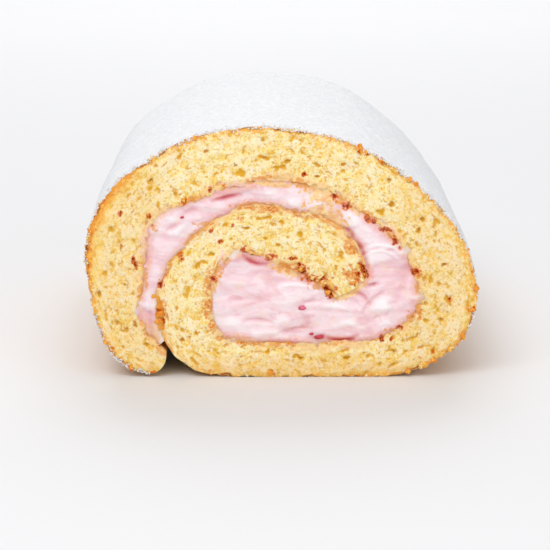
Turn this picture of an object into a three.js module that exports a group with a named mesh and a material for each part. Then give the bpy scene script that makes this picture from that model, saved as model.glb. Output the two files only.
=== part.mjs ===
// A swiss roll cake: a sheet of sponge rolled up round a layer of whipped cream, with both ends cut square.
// Units are millimetres and +Z is up. The roll lies along Y, and its swirl is drawn in X and Z as seen from -Y.
// The origin is on the surface that the cake rests on, under the middle of the roll.

import * as THREE from "three";
import { mergeVertices } from "three/addons/utils/BufferGeometryUtils.js";

// Driving dimensions.
const ROLL_LENGTH = 160;
const BODY_SWELL = 0.016; // how much wider and taller the roll is halfway along than at its cut ends, as a share
const CREAM_GAP = 0.33; // between the cream and the sponge it was spread on

// The rolled sheet: x and z of its middle line, and its thickness, from the loose outer end round to the inner end.
const SHEET_STATIONS = [
  [-34.0, 4.6, 7.0], [-38.6, 6.9, 10.6], [-43.2, 11.2, 12.6], [-45.8, 17.6, 13.2], [-46.3, 26.0, 15.8],
  [-46.4, 34.4, 17.6], [-45.0, 42.4, 16.4], [-40.8, 49.4, 15.8], [-33.6, 55.0, 15.6], [-22.6, 59.8, 16.8],
  [-8.0, 63.4, 15.6], [6.6, 62.7, 14.4], [19.4, 58.2, 15.8], [31.2, 50.6, 15.6], [39.8, 42.0, 15.8],
  [45.0, 33.0, 16.8], [46.8, 24.4, 17.0], [45.0, 16.0, 15.8], [39.8, 10.8, 14.6], [32.0, 7.2, 13.2],
  [22.2, 5.6, 11.2], [7.5, 5.1, 10.2], [-9.0, 5.4, 10.8], [-17.4, 6.8, 12.2], [-23.2, 9.8, 14.6],
  [-26.6, 16.0, 15.8], [-27.2, 23.4, 16.4], [-25.2, 30.6, 14.4], [-21.2, 36.0, 12.4], [-15.4, 40.4, 11.8],
  [-8.6, 42.4, 14.4], [1.4, 40.8, 16.6], [10.0, 37.4, 17.6], [15.4, 32.4, 16.2], [19.2, 26.2, 12.4],
];
const LAST_STATION = SHEET_STATIONS.length - 1;
const OUTER_TURN_END = 24; // the station where the sheet has gone in under its own outer turn
const END_BULGE = 1.2; // how far the two torn ends of the sheet round out

// The cream fills the space between two walls. Each pair matches a place on its outer wall, the sheet's inside, with
// one on its inner wall. Both count in stations; past the last station the inner wall turns over the sheet's inner end,
// one station wide, and runs back along the sheet's inside.
const CREAM_RUNGS = [
  [0.9, 24.9],
  [3, 26],
  [6, 28],
  [9, 29.5],
  [12, 32.1],
  [15, LAST_STATION],
  [19, LAST_STATION + 1],
  [21, LAST_STATION + 2.6],
  [22, LAST_STATION + 4.7],
  [23, LAST_STATION + 6.5],
  [24.6, LAST_STATION + 8],
];

// Unevenness. A pitch is in radians of wave for each millimetre, station or share of the roll's length.
const SKIN_WAVE = 0.45; // height of the slow bumps of the outer skin
const SKIN_PITCH_ROUND = 0.9; // for each station
const SKIN_PITCH_LENGTHWISE = 7; // for the roll's length
const PRESSED_FLAT = 0.25; // how much of the underside the cake's weight has pressed level
const CRUMB_RELIEF = 0.5; // height of the crags on a cut face
const CRUMB_PITCH = 0.75;
const RIM_LOSS = 1.3; // deepest crumb broken out of a cut edge
const RIM_WEAR = 0.25; // share of that loss all along the edge
const RIM_WIDTH = 1.8; // how far in from a cut edge the face drops away
const RIM_PITCH = 0.5;
const CREAM_RELIEF = 0.8; // height of the knife strokes across the cream
const CREAM_PITCH = [0.35, 0.6]; // across and up the cut face: the strokes lie level
const CREAM_SUNK = 0.5; // share of that height by which the cream lies back from the cut face

// Mesh steps: along the layer, through it, and along the roll.
const SHEET_STEPS = [132, 6, 6];
const CREAM_STEPS = [76, 6, 4];

const sheetLine = new THREE.CatmullRomCurve3(
  SHEET_STATIONS.map((station) => new THREE.Vector3(...station)),
  false,
  "catmullrom",
  0.5,
);

// A smooth unevenness from -1 to 1, made of waves that don't line up.
function waver(a, b, seed) {
  const slow = Math.sin(a + 1.3 * b + seed) + Math.sin(0.6 * a - 1.9 * b + 2.4 * seed);
  const quick = Math.sin(2.7 * a + 0.8 * b - seed) + Math.sin(-1.7 * a + 3.1 * b + 3.3 * seed);
  return (slow + quick) / 4;
}

// The middle line's place, direction and thickness at a station number, whole or not.
function sheetAt(station) {
  const t = THREE.MathUtils.clamp(station / LAST_STATION, 0, 1);
  const reach = 1e-3;
  const here = sheetLine.getPoint(t);
  const before = sheetLine.getPoint(Math.max(t - reach, 0));
  const after = sheetLine.getPoint(Math.min(t + reach, 1));
  const along = new THREE.Vector2(after.x - before.x, after.y - before.y).normalize();
  return { middle: new THREE.Vector2(here.x, here.y), along, thickness: here.z };
}

// A point of the sheet: side is 1 on its outer skin, -1 on its inside and in between within it.
function sheetPoint(station, side, extra = 0) {
  const { middle, along, thickness } = sheetAt(station);
  const across = new THREE.Vector2(-along.y, along.x);
  return middle.addScaledVector(across, side * (thickness / 2 + extra));
}

// The cream's outer wall, on the inside of the sheet.
function creamOuterWall(station) {
  return sheetPoint(station, -1, CREAM_GAP);
}

// The cream's inner wall: the sheet's outer skin, then its inner end, then its inside backwards.
function creamInnerWall(station) {
  if (station <= LAST_STATION) return sheetPoint(station, 1, CREAM_GAP);
  const pastEnd = station - LAST_STATION;
  if (pastEnd >= 1) return sheetPoint(LAST_STATION - (pastEnd - 1), -1, CREAM_GAP);
  const side = 1 - 2 * pastEnd;
  const { along } = sheetAt(LAST_STATION);
  const bulge = END_BULGE * (1 - side * side) + CREAM_GAP;
  return sheetPoint(LAST_STATION, side, CREAM_GAP).addScaledVector(along, bulge);
}

// Reads the value paired with a place along a list of pairs.
function paired(pairs, place) {
  const next = Math.max(1, pairs.findIndex(([first]) => first >= place));
  const [firstA, secondA] = pairs[next - 1];
  const [firstB, secondB] = pairs[next];
  return THREE.MathUtils.mapLinear(place, firstA, firstB, secondA, secondB);
}

// Places a point of a cross-section along the roll: the middle of the roll swells, and its underside stays level.
function placeInRoll(section, y) {
  const share = (2 * y) / ROLL_LENGTH;
  const swell = 1 + BODY_SWELL * (1 - share * share);
  return new THREE.Vector3(section.x * swell, y, Math.max(0, section.y * swell - PRESSED_FLAT));
}

// Bends a block into a layer of the roll. The block's X runs along the layer, its Y through it and its Z along the
// roll from the shown end; shape turns those three shares, each from 0 to 1, into a point of the cake.
function bentLayer([along, through, lengthwise], shape) {
  const block = new THREE.BoxGeometry(1, 1, 1, along, through, lengthwise);
  block.deleteAttribute("normal");
  block.deleteAttribute("uv");
  const geometry = mergeVertices(block);
  const places = geometry.attributes.position;
  for (let i = 0; i < places.count; i += 1) {
    const shares = [places.getX(i) + 0.5, places.getY(i) + 0.5, 0.5 - places.getZ(i)];
    const point = shape(...shares);
    places.setXYZ(i, point.x, point.y, point.z);
  }
  geometry.computeVertexNormals();
  return geometry;
}

// How far a cut face stands out at a place on it, given how close that place is to an edge of the sheet.
function cutFaceRelief(section, edgeDistance, end) {
  const crags = CRUMB_RELIEF * waver(section.x * CRUMB_PITCH, section.y * CRUMB_PITCH, end);
  const nearEdge = Math.max(0, 1 - edgeDistance / RIM_WIDTH);
  const broken = Math.max(0, waver(section.x * RIM_PITCH, section.y * RIM_PITCH, 4 + end));
  return crags - nearEdge * RIM_LOSS * (RIM_WEAR + broken);
}

function spongeGeometry() {
  return bentLayer(SHEET_STEPS, (alongShare, throughShare, rollShare) => {
    const station = sheetLine.getUtoTmapping(alongShare) * LAST_STATION;
    const side = 2 * throughShare - 1;
    const { along, thickness } = sheetAt(station);
    const wave = waver(station * SKIN_PITCH_ROUND, rollShare * SKIN_PITCH_LENGTHWISE, 1);
    const bumps = station < OUTER_TURN_END && side > 0 ? side * SKIN_WAVE * wave : 0;
    const section = sheetPoint(station, side, bumps);
    if (alongShare === 0) section.addScaledVector(along, -END_BULGE * (1 - side * side));
    if (alongShare === 1) section.addScaledVector(along, END_BULGE * (1 - side * side));
    const end = rollShare === 0 ? -1 : rollShare === 1 ? 1 : 0;
    const edgeDistance = ((1 - Math.abs(side)) * thickness) / 2;
    const relief = end * cutFaceRelief(section, edgeDistance, end);
    return placeInRoll(section, (rollShare - 0.5) * ROLL_LENGTH + relief);
  });
}

function creamGeometry() {
  const firstStation = CREAM_RUNGS[0][0];
  const lastStation = CREAM_RUNGS[CREAM_RUNGS.length - 1][0];
  return bentLayer(CREAM_STEPS, (alongShare, throughShare, rollShare) => {
    const station = THREE.MathUtils.lerp(firstStation, lastStation, alongShare);
    const outer = creamOuterWall(station);
    const inner = creamInnerWall(paired(CREAM_RUNGS, station));
    const section = inner.lerp(outer, throughShare);
    const end = rollShare === 0 ? -1 : rollShare === 1 ? 1 : 0;
    const strokes = waver(section.x * CREAM_PITCH[0], section.y * CREAM_PITCH[1], 2 + end);
    const relief = end * CREAM_RELIEF * (strokes - CREAM_SUNK);
    return placeInRoll(section, (rollShare - 0.5) * ROLL_LENGTH + relief);
  });
}

const spongeMaterial = new THREE.MeshStandardMaterial({
  color: new THREE.Color(0.96, 0.8, 0.45),
  roughness: 0.9,
  metalness: 0,
});
const creamMaterial = new THREE.MeshStandardMaterial({
  color: new THREE.Color(0.95, 0.74, 0.78),
  roughness: 0.45,
  metalness: 0,
});

const sponge = new THREE.Mesh(spongeGeometry(), spongeMaterial);
sponge.name = "sponge";

const cream = new THREE.Mesh(creamGeometry(), creamMaterial);
cream.name = "cream";

const swissRoll = new THREE.Group();
swissRoll.add(sponge, cream);

export default swissRoll;
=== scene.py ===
"""A swiss roll cake dressed for show: open crumb, browned skin, whipped cream, icing sugar and crumbs.

The sizes in the classes are millimetres, as a baker would give them, and each mesh is turned into metres
when it is laid in the frame. The roll lies along Y on the floor at Z = 0, and its swirl is drawn in X and Z
as seen from -Y. A reach is a pair of millimetres: where something starts to show, and where it shows fully.
"""

import logging
import math
from collections.abc import Callable, Iterable, Sequence
from dataclasses import dataclass, field
from enum import Enum
from functools import cached_property
from typing import ClassVar

import bpy
import numpy as np
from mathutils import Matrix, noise


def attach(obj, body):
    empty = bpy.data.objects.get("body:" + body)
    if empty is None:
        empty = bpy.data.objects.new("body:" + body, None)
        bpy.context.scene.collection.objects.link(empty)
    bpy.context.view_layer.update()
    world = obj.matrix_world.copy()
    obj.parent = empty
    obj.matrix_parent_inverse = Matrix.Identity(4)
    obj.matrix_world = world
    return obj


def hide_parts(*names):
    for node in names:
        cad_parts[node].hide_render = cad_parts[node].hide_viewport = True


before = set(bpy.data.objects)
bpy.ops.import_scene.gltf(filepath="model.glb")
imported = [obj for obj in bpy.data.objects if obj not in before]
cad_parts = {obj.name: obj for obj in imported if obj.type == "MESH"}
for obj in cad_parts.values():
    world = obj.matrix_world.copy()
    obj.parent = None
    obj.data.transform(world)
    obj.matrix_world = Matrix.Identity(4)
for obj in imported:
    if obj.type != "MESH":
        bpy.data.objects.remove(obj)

LOG = logging.getLogger("swiss_roll")
MM = 0.001
BODY = "root"

ON_CUT = 1e-3  # points closer to a cut end than this lie on its face
WELL_INSIDE = 9.0  # a distance from the crust or the cream at which neither colours the crumb

Values = np.ndarray
Colour = tuple[float, float, float, float]
Spot = tuple[float, float]
Reach = tuple[float, float]


class CutEnd(Enum):
    """The two cut ends of the roll, by the way that each faces along Y."""

    SHOWN = -1
    FAR = 1


class Mark(Enum):
    """What a single mark on the shown cut is."""

    HOLE = "hole"
    SPECK = "speck"
    BROWNED = "browned"
    STAINED = "stained"
    DRAGGED = "dragged"
    TORN = "torn"


def tone(red: int, green: int, blue: int) -> Colour:
    """Turns a colour as a screen shows it, 0 to 255, into the linear colour that a shader takes.

    Args:
        red: The red part.
        green: The green part.
        blue: The blue part.

    Returns:
        The linear colour, with full alpha.
    """
    shares = (part / 255 for part in (red, green, blue))
    linear = [((share + 0.055) / 1.055) ** 2.4 if share > 0.04 else share / 12.92 for share in shares]
    return (linear[0], linear[1], linear[2], 1.0)


def smooth_step(low: float, high: float, values: Values) -> Values:
    """Eases values from 0 at low to 1 at high, and the other way where low is the larger."""
    share = np.clip((values - low) / (high - low), 0, 1)
    return share * share * (3 - 2 * share)


def stretch_of(limits: tuple[float, float, float, float], values: Values) -> Values:
    """Marks a stretch of values: 1 between the middle two limits, eased down to 0 at the outer two."""
    start, full, fading, end = limits
    return smooth_step(start, full, values) * smooth_step(end, fading, values)


def waver(a: Values, b: Values, seed: float) -> Values:
    """A smooth unevenness from -1 to 1, made of waves that don't line up, as in the solid under it.

    Args:
        a: The first direction, in radians of the slowest wave.
        b: The second direction.
        seed: Which unevenness it is.

    Returns:
        The unevenness at each place.
    """
    slow = np.sin(a + 1.3 * b + seed) + np.sin(0.6 * a - 1.9 * b + 2.4 * seed)
    quick = np.sin(2.7 * a + 0.8 * b - seed) + np.sin(-1.7 * a + 3.1 * b + 3.3 * seed)
    return (slow + quick) / 4


@dataclass(frozen=True)
class Lumps:
    """A fractal unevenness, roughly from -1 to 1.

    Attributes:
        size: The size of the largest lumps, in millimetres.
        layers: How many times finer lumps are laid over the last.
        lot: Which unevenness of that kind it is.
    """

    size: float
    layers: int
    lot: float
    apart: ClassVar[float] = 17.3

    def at(self, places: Values) -> Values:
        """The unevenness at each point, given in millimetres, one row each."""
        moved = places / self.size + self.lot * self.apart
        return np.array([noise.fractal(place, 1.0, 2.0, self.layers) for place in moved.tolist()])


GRAIN = Lumps(1.1, 2, 6.0)  # the crumb's own fine grain, which also frays the edges of the marks on a cut
SCORCHED_BITS = Lumps(1.6, 2, 33.0)  # where loose crumbs are scorched


# --- The form of the cake, as in the solids -------------------------------------------------------------


@dataclass(frozen=True)
class SheetLine:
    """The rolled sheet: its middle line and thickness, from the loose outer end round to the inner end.

    Attributes:
        stations: x and z of the middle line and the thickness, in millimetres.
        end_bulge: How far the two torn ends of the sheet round out.
        under: The station where the sheet has gone in under its own outer turn.
        ruler_steps: How many lengths are measured along it.
    """

    stations: tuple[tuple[float, float, float], ...] = (
        (-34.0, 4.6, 7.0), (-38.6, 6.9, 10.6), (-43.2, 11.2, 12.6), (-45.8, 17.6, 13.2), (-46.3, 26.0, 15.8),
        (-46.4, 34.4, 17.6), (-45.0, 42.4, 16.4), (-40.8, 49.4, 15.8), (-33.6, 55.0, 15.6),
        (-22.6, 59.8, 16.8), (-8.0, 63.4, 15.6), (6.6, 62.7, 14.4), (19.4, 58.2, 15.8), (31.2, 50.6, 15.6),
        (39.8, 42.0, 15.8), (45.0, 33.0, 16.8), (46.8, 24.4, 17.0), (45.0, 16.0, 15.8), (39.8, 10.8, 14.6),
        (32.0, 7.2, 13.2), (22.2, 5.6, 11.2), (7.5, 5.1, 10.2), (-9.0, 5.4, 10.8), (-17.4, 6.8, 12.2),
        (-23.2, 9.8, 14.6), (-26.6, 16.0, 15.8), (-27.2, 23.4, 16.4), (-25.2, 30.6, 14.4),
        (-21.2, 36.0, 12.4), (-15.4, 40.4, 11.8), (-8.6, 42.4, 14.4), (1.4, 40.8, 16.6), (10.0, 37.4, 17.6),
        (15.4, 32.4, 16.2), (19.2, 26.2, 12.4),
    )
    end_bulge: float = 1.2
    under: int = 24
    ruler_steps: int = 2400

    @property
    def last(self) -> int:
        """The station number of the sheet's inner end."""
        return len(self.stations) - 1

    def sample(self, station: Values) -> Values:
        """Reads the smooth line through the stations.

        Args:
            station: Station numbers, whole or not.

        Returns:
            x, z and thickness at each.
        """
        points = np.array(self.stations)
        points = np.vstack([2 * points[0] - points[1], points, 2 * points[-1] - points[-2]])
        place = np.clip(station, 0, self.last)
        span = np.minimum(place.astype(int), self.last - 1)
        t = (place - span)[:, None]
        a, b, c, d = (points[span + step] for step in range(4))
        curved = (2 * a - 5 * b + 4 * c - d) * t**2 + (3 * b - a - 3 * c + d) * t**3
        return 0.5 * (2 * b + (c - a) * t + curved)

    def at(self, station: Values) -> tuple[Values, Values, Values]:
        """The middle line's place, direction and thickness.

        Args:
            station: Station numbers, whole or not.

        Returns:
            The middle points, the unit directions along the sheet, and the thicknesses.
        """
        reach = 1e-3 * self.last
        here = self.sample(station)
        along = self.sample(station + reach)[:, :2] - self.sample(station - reach)[:, :2]
        return here[:, :2], along / np.linalg.norm(along, axis=1)[:, None], here[:, 2]

    def point(self, station: Values, side: Values, extra: Values | float = 0.0) -> Values:
        """A point of the sheet.

        Args:
            station: Station numbers, whole or not.
            side: 1 on the outer skin, -1 on the inside, and in between within the sheet.
            extra: How much thicker the half sheet is made there.

        Returns:
            x and z of each point.
        """
        middle, along, thickness = self.at(station)
        across = np.stack([-along[:, 1], along[:, 0]], axis=1)
        return middle + across * (side * (thickness / 2 + extra))[:, None]

    @cached_property
    def _ruler(self) -> tuple[Values, Values]:
        """Station numbers and the millimetres along the sheet at each."""
        station = np.linspace(0, self.last, self.ruler_steps)
        steps = np.linalg.norm(np.diff(self.sample(station)[:, :2], axis=0), axis=1)
        return station, np.concatenate([[0.0], np.cumsum(steps)])

    def mm_at(self, station: Values | float) -> Values:
        """Millimetres along the sheet at a station number."""
        return np.interp(station, *self._ruler)

    def station_at(self, mm: Values) -> Values:
        """The station number at a length along the sheet."""
        return np.interp(mm, self._ruler[1], self._ruler[0])


@dataclass(frozen=True)
class RollForm:
    """The roll as a whole: its middle swells, and its underside is pressed level.

    Attributes:
        line: The rolled sheet.
        length: Length of the roll.
        swell: How much wider and taller the roll is halfway along, as a share.
        pressed: How much of the underside the cake's weight has pressed level.
        skin_wave: Height of the slow bumps of the outer skin.
        skin_pitch: Radians of wave for each station, and for the roll's length.
        wrinkles: Height of the skin's fine unevenness.
        wrinkled: The fine unevenness.
        chips: How far the skin is chipped back at a cut edge.
        chipped: Where it is chipped.
        chip_reach: How far from a cut it is chipped.
    """

    line: SheetLine = field(default_factory=SheetLine)
    length: float = 160.0
    swell: float = 0.016
    pressed: float = 0.25
    skin_wave: float = 0.45
    skin_pitch: tuple[float, float] = (0.9, 7.0)
    wrinkles: float = 0.25
    wrinkled: Lumps = Lumps(3.0, 3, 2.0)
    chips: float = 0.8
    chipped: Lumps = Lumps(2.2, 4, 3.0)
    chip_reach: Reach = (2.2, 0.3)

    def place(self, section: Values, y: Values) -> Values:
        """Places points of the cross-section along the roll.

        Args:
            section: x and z of each point.
            y: Where along the roll each lies.

        Returns:
            The three coordinates of each point, in millimetres.
        """
        swell = 1 + self.swell * (1 - (2 * y / self.length) ** 2)
        z = np.maximum(0, section[:, 1] * swell - self.pressed)
        return np.stack([section[:, 0] * swell, y, z], axis=1)

    def surface(self, station: Values, side: Values, y: Values) -> Values:
        """How far the sheet's own unevenness lifts it: slow bumps, fine wrinkles and chips along a cut edge.

        Args:
            station: Station numbers.
            side: 1 on the outer skin, down to -1 on the inside.
            y: Where along the roll each lies.

        Returns:
            The lift in millimetres, which is less than 0 where crumb has broken off.
        """
        round_pitch, long_pitch = self.skin_pitch
        wave = waver(station * round_pitch, (y / self.length + 0.5) * long_pitch, 1)
        slow = np.where((station < self.line.under) & (side > 0), side * self.skin_wave * wave, 0.0)
        faces_apart = 20  # so that the outer skin and the inside aren't uneven in the same way
        sheet = np.stack([self.line.mm_at(station), faces_apart * np.sign(side), y], axis=1)
        near_cut = smooth_step(*self.chip_reach, self.length / 2 - np.abs(y))
        chipped = np.clip(self.chipped.at(sheet) + 0.15, 0, 1) * near_cut
        fine = self.wrinkles * self.wrinkled.at(sheet) - self.chips * chipped
        return slow + fine * smooth_step(0.6, 1.0, np.abs(side))

    def skin(self, station: Values, y: Values, lift: Values | float = 0.0) -> Values:
        """Points on the outer skin or lifted off it, at station numbers and places along the roll."""
        outer = np.ones_like(station)
        return self.place(self.line.point(station, outer, self.surface(station, outer, y) + lift), y)


# --- Meshes ---------------------------------------------------------------------------------------------


class Piece:
    """A mesh of the cake, in the frame's metres, that rides on the cake's one body."""

    def __init__(self, thing: bpy.types.Object) -> None:
        """Takes over a mesh object."""
        self.thing = thing

    @property
    def mesh(self) -> bpy.types.Mesh:
        """The piece's mesh."""
        return self.thing.data

    @property
    def places(self) -> Values:
        """The coordinates of the points, one row each."""
        flat = np.empty(len(self.mesh.vertices) * 3, np.float32)
        self.mesh.vertices.foreach_get("co", flat)
        return flat.reshape(-1, 3).astype(float)

    @places.setter
    def places(self, rows: Values) -> None:
        """Moves the points."""
        self.mesh.vertices.foreach_set("co", rows.astype(np.float32).ravel())
        self.mesh.update()

    def keep(self, name: str, values: Values) -> None:
        """Stores a number or a vector at each point, for the finish to read.

        Args:
            name: What the values are called.
            values: One number or one row of three for each point.
        """
        kind, key = ("FLOAT", "value") if values.ndim == 1 else ("FLOAT_VECTOR", "vector")
        layer = self.mesh.attributes.new(name, kind, "POINT")
        layer.data.foreach_set(key, values.astype(np.float32).ravel())

    def refine(self, test: Callable[[Values], Values], cuts: int) -> None:
        """Divides the faces whose middles pass a test, and nothing else.

        Args:
            test: Takes the middles, one row each, and says which are divided.
            cuts: How many times each of their sides is cut.
        """
        activate(self.thing)
        middles = np.empty(len(self.mesh.polygons) * 3, np.float32)
        self.mesh.polygons.foreach_get("center", middles)
        self.mesh.vertices.foreach_set("select", np.zeros(len(self.mesh.vertices), bool))
        self.mesh.edges.foreach_set("select", np.zeros(len(self.mesh.edges), bool))
        self.mesh.polygons.foreach_set("select", test(middles.reshape(-1, 3)))
        bpy.ops.object.mode_set(mode="EDIT")
        bpy.ops.mesh.select_mode(type="FACE")
        bpy.ops.mesh.subdivide(number_cuts=cuts, ngon=False)
        bpy.ops.object.mode_set(mode="OBJECT")

    def face_outwards(self) -> None:
        """Turns every face outwards."""
        activate(self.thing)
        bpy.ops.object.mode_set(mode="EDIT")
        bpy.ops.mesh.select_all(action="SELECT")
        bpy.ops.mesh.normals_make_consistent(inside=False)
        bpy.ops.object.mode_set(mode="OBJECT")

    def dress(self, finish: "Finish", slot: str, *stands_for: str, crease: float | None = None) -> "Piece":
        """Gives the piece its finish and its place in the frame.

        Args:
            finish: What makes its material.
            slot: The name of a material slot, which is not used.
            stands_for: The solids that it replaces.
            crease: Faces that meet at more degrees than this keep a sharp edge.

        Returns:
            The piece.
        """
        activate(self.thing)
        if crease is None:
            bpy.ops.object.shade_smooth()
        else:
            bpy.ops.object.shade_smooth_by_angle(angle=math.radians(crease))
        self.mesh.materials.clear()
        self.mesh.materials.append(finish.material())
        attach(self.thing, BODY)
        if stands_for:
            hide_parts(*stands_for)
        LOG.info("%s: %d faces", self.thing.name, len(self.mesh.polygons))
        return self


def activate(thing: bpy.types.Object) -> None:
    """Selects one object alone, in object mode."""
    if bpy.context.mode != "OBJECT":
        bpy.ops.object.mode_set(mode="OBJECT")
    bpy.ops.object.select_all(action="DESELECT")
    thing.select_set(True)
    bpy.context.view_layer.objects.active = thing


def added(name: str) -> Piece:
    """Names the object that an operator has just added, and lays its place into its mesh.

    Args:
        name: The piece's name.

    Returns:
        The piece.
    """
    thing = bpy.context.active_object
    thing.name = thing.data.name = name
    bpy.ops.object.transform_apply(location=True, rotation=True, scale=True)
    return Piece(thing)


def flat_block(name: str, columns: int, rows: int, slices: Sequence[float]) -> Piece:
    """A block to be bent into a layer: X runs along it, Z through it and Y along the roll, from 0 to 1.

    Args:
        name: The piece's name.
        columns: Faces along the layer.
        rows: Faces through it.
        slices: Where along Y it is divided, from 0 to 1.

    Returns:
        The closed block.
    """
    bpy.ops.object.select_all(action="DESELECT")
    middle, upright = (0.5, 0, 0.5), (math.pi / 2, 0, 0)
    bpy.ops.mesh.primitive_grid_add(
        x_subdivisions=columns, y_subdivisions=rows, size=1, location=middle, rotation=upright
    )
    block = added(name)
    bpy.ops.object.mode_set(mode="EDIT")
    bpy.ops.mesh.select_all(action="SELECT")
    for step in np.diff(slices):
        bpy.ops.mesh.extrude_region_move(TRANSFORM_OT_translate={"value": (0, float(step), 0)})
    bpy.ops.object.mode_set(mode="OBJECT")
    block.face_outwards()
    return block


def cut_block(name: str, columns: int, rows: int, slices: Sequence[float]) -> Piece:
    """A flat block whose two cut ends are twice as fine as the rest.

    Args:
        name: The piece's name.
        columns: Faces along the layer, away from the cuts.
        rows: Faces through it.
        slices: Where along Y it is divided, from 0 to 1.

    Returns:
        The closed block.
    """
    block = flat_block(name, columns, rows, slices)
    rim = slices[1]
    block.refine(lambda middles: np.abs(middles[:, 1] - 0.5) > 0.5 - rim, 1)
    return block


def ball(name: str, subdivisions: int) -> Piece:
    """A ball of radius 1 round the origin, to be shaped and copied.

    Args:
        name: The piece's name.
        subdivisions: How fine it is.

    Returns:
        The ball.
    """
    bpy.ops.object.select_all(action="DESELECT")
    bpy.ops.mesh.primitive_ico_sphere_add(subdivisions=subdivisions, radius=1.0)
    return added(name)


def graded(fine: float, coarse: float, growth: float) -> list[float]:
    """Divides 0 to 1 finely at both ends and coarsely between.

    Args:
        fine: The first step.
        coarse: The largest step.
        growth: How much each step grows on the last.

    Returns:
        The divisions, the same from both ends.
    """
    half, step = [0.0], fine
    while half[-1] + step < 0.5:
        half.append(half[-1] + step)
        step = min(step * growth, coarse)
    scale = 0.5 / half[-1]
    kept = 4 * fine
    half = [place * (1 if place < kept else scale) for place in half]
    return half + [1 - place for place in reversed(half[:-1])]


def scattered(name: str, pattern: Piece, turns: Values, places: Values) -> Piece:
    """Copies one small piece many times into a single mesh, none below the floor, and removes the first.

    Args:
        name: The new piece's name.
        pattern: The small piece, round the origin.
        turns: A 3 by 3 matrix for each copy, which turns and sizes it.
        places: Where each copy's origin goes, in millimetres.

    Returns:
        The joined piece.
    """
    points = pattern.places
    count, each = len(places), len(points)
    corners = np.empty(len(pattern.mesh.loops), np.int32)
    pattern.mesh.loops.foreach_get("vertex_index", corners)
    starts = np.empty(len(pattern.mesh.polygons), np.int32)
    pattern.mesh.polygons.foreach_get("loop_start", starts)
    mesh = bpy.data.meshes.new(name)
    mesh.vertices.add(count * each)
    mesh.loops.add(count * len(corners))
    mesh.polygons.add(count * len(starts))
    rows = np.einsum("nij,kj->nki", turns, points) + places[:, None, :]
    rows[..., 2] += np.maximum(0, -rows[..., 2].min(axis=1))[:, None]
    mesh.vertices.foreach_set("co", (rows * MM).astype(np.float32).ravel())
    copy = np.arange(count)[:, None]
    mesh.loops.foreach_set("vertex_index", (corners + copy * each).astype(np.int32).ravel())
    mesh.polygons.foreach_set("loop_start", (starts + copy * len(corners)).astype(np.int32).ravel())
    mesh.validate()
    mesh.update(calc_edges=True)
    bpy.data.objects.remove(pattern.thing)
    thing = bpy.data.objects.new(name, mesh)
    bpy.context.scene.collection.objects.link(thing)
    return Piece(thing)


def random_turns(draw: np.random.Generator, sizes: Values) -> Values:
    """Matrices that turn copies every way and give each its own size and proportions.

    Args:
        draw: Where the random numbers come from.
        sizes: The size of each copy.

    Returns:
        A 3 by 3 matrix for each copy.
    """
    turns, _ = np.linalg.qr(draw.normal(size=(len(sizes), 3, 3)))
    turns *= np.sign(np.linalg.det(turns))[:, None, None]
    stretch = draw.uniform(0.75, 1.25, size=(len(sizes), 1, 3))
    return turns * stretch * sizes[:, None, None]


# --- Finishes -------------------------------------------------------------------------------------------


class Wire:
    """A shader socket that takes part in Python arithmetic."""

    def __init__(self, graph: "Graph", socket: bpy.types.NodeSocket) -> None:
        """Wraps an output of one of a graph's nodes."""
        self.graph = graph
        self.socket = socket

    def _math(self, operation: str, *values: "Wire | float") -> "Wire":
        """Adds a Math node."""
        return self.graph.node("Math", {"operation": operation}, dict(enumerate(values)))

    def __add__(self, other: "Wire | float") -> "Wire":
        """The sum."""
        return self._math("ADD", self, other)

    def __sub__(self, other: "Wire | float") -> "Wire":
        """The difference."""
        return self._math("SUBTRACT", self, other)

    def __rsub__(self, other: float) -> "Wire":
        """The difference, the other way round."""
        return self._math("SUBTRACT", other, self)

    def __mul__(self, other: "Wire | float") -> "Wire":
        """The product."""
        return self._math("MULTIPLY", self, other)

    __radd__ = __add__

    def largest(self, other: "Wire | float") -> "Wire":
        """The larger of the two."""
        return self._math("MAXIMUM", self, other)

    def step(self, low: float, high: float) -> "Wire":
        """Eases from 0 at low to 1 at high.

        Args:
            low: The value that gives 0.
            high: The value that gives 1.

        Returns:
            The eased value.
        """
        if low > high:
            return 1 - self.step(high, low)
        sockets = {0: self, 1: low, 2: high, 3: 0.0, 4: 1.0}
        return self.graph.node("MapRange", {"interpolation_type": "SMOOTHSTEP"}, sockets)


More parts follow.
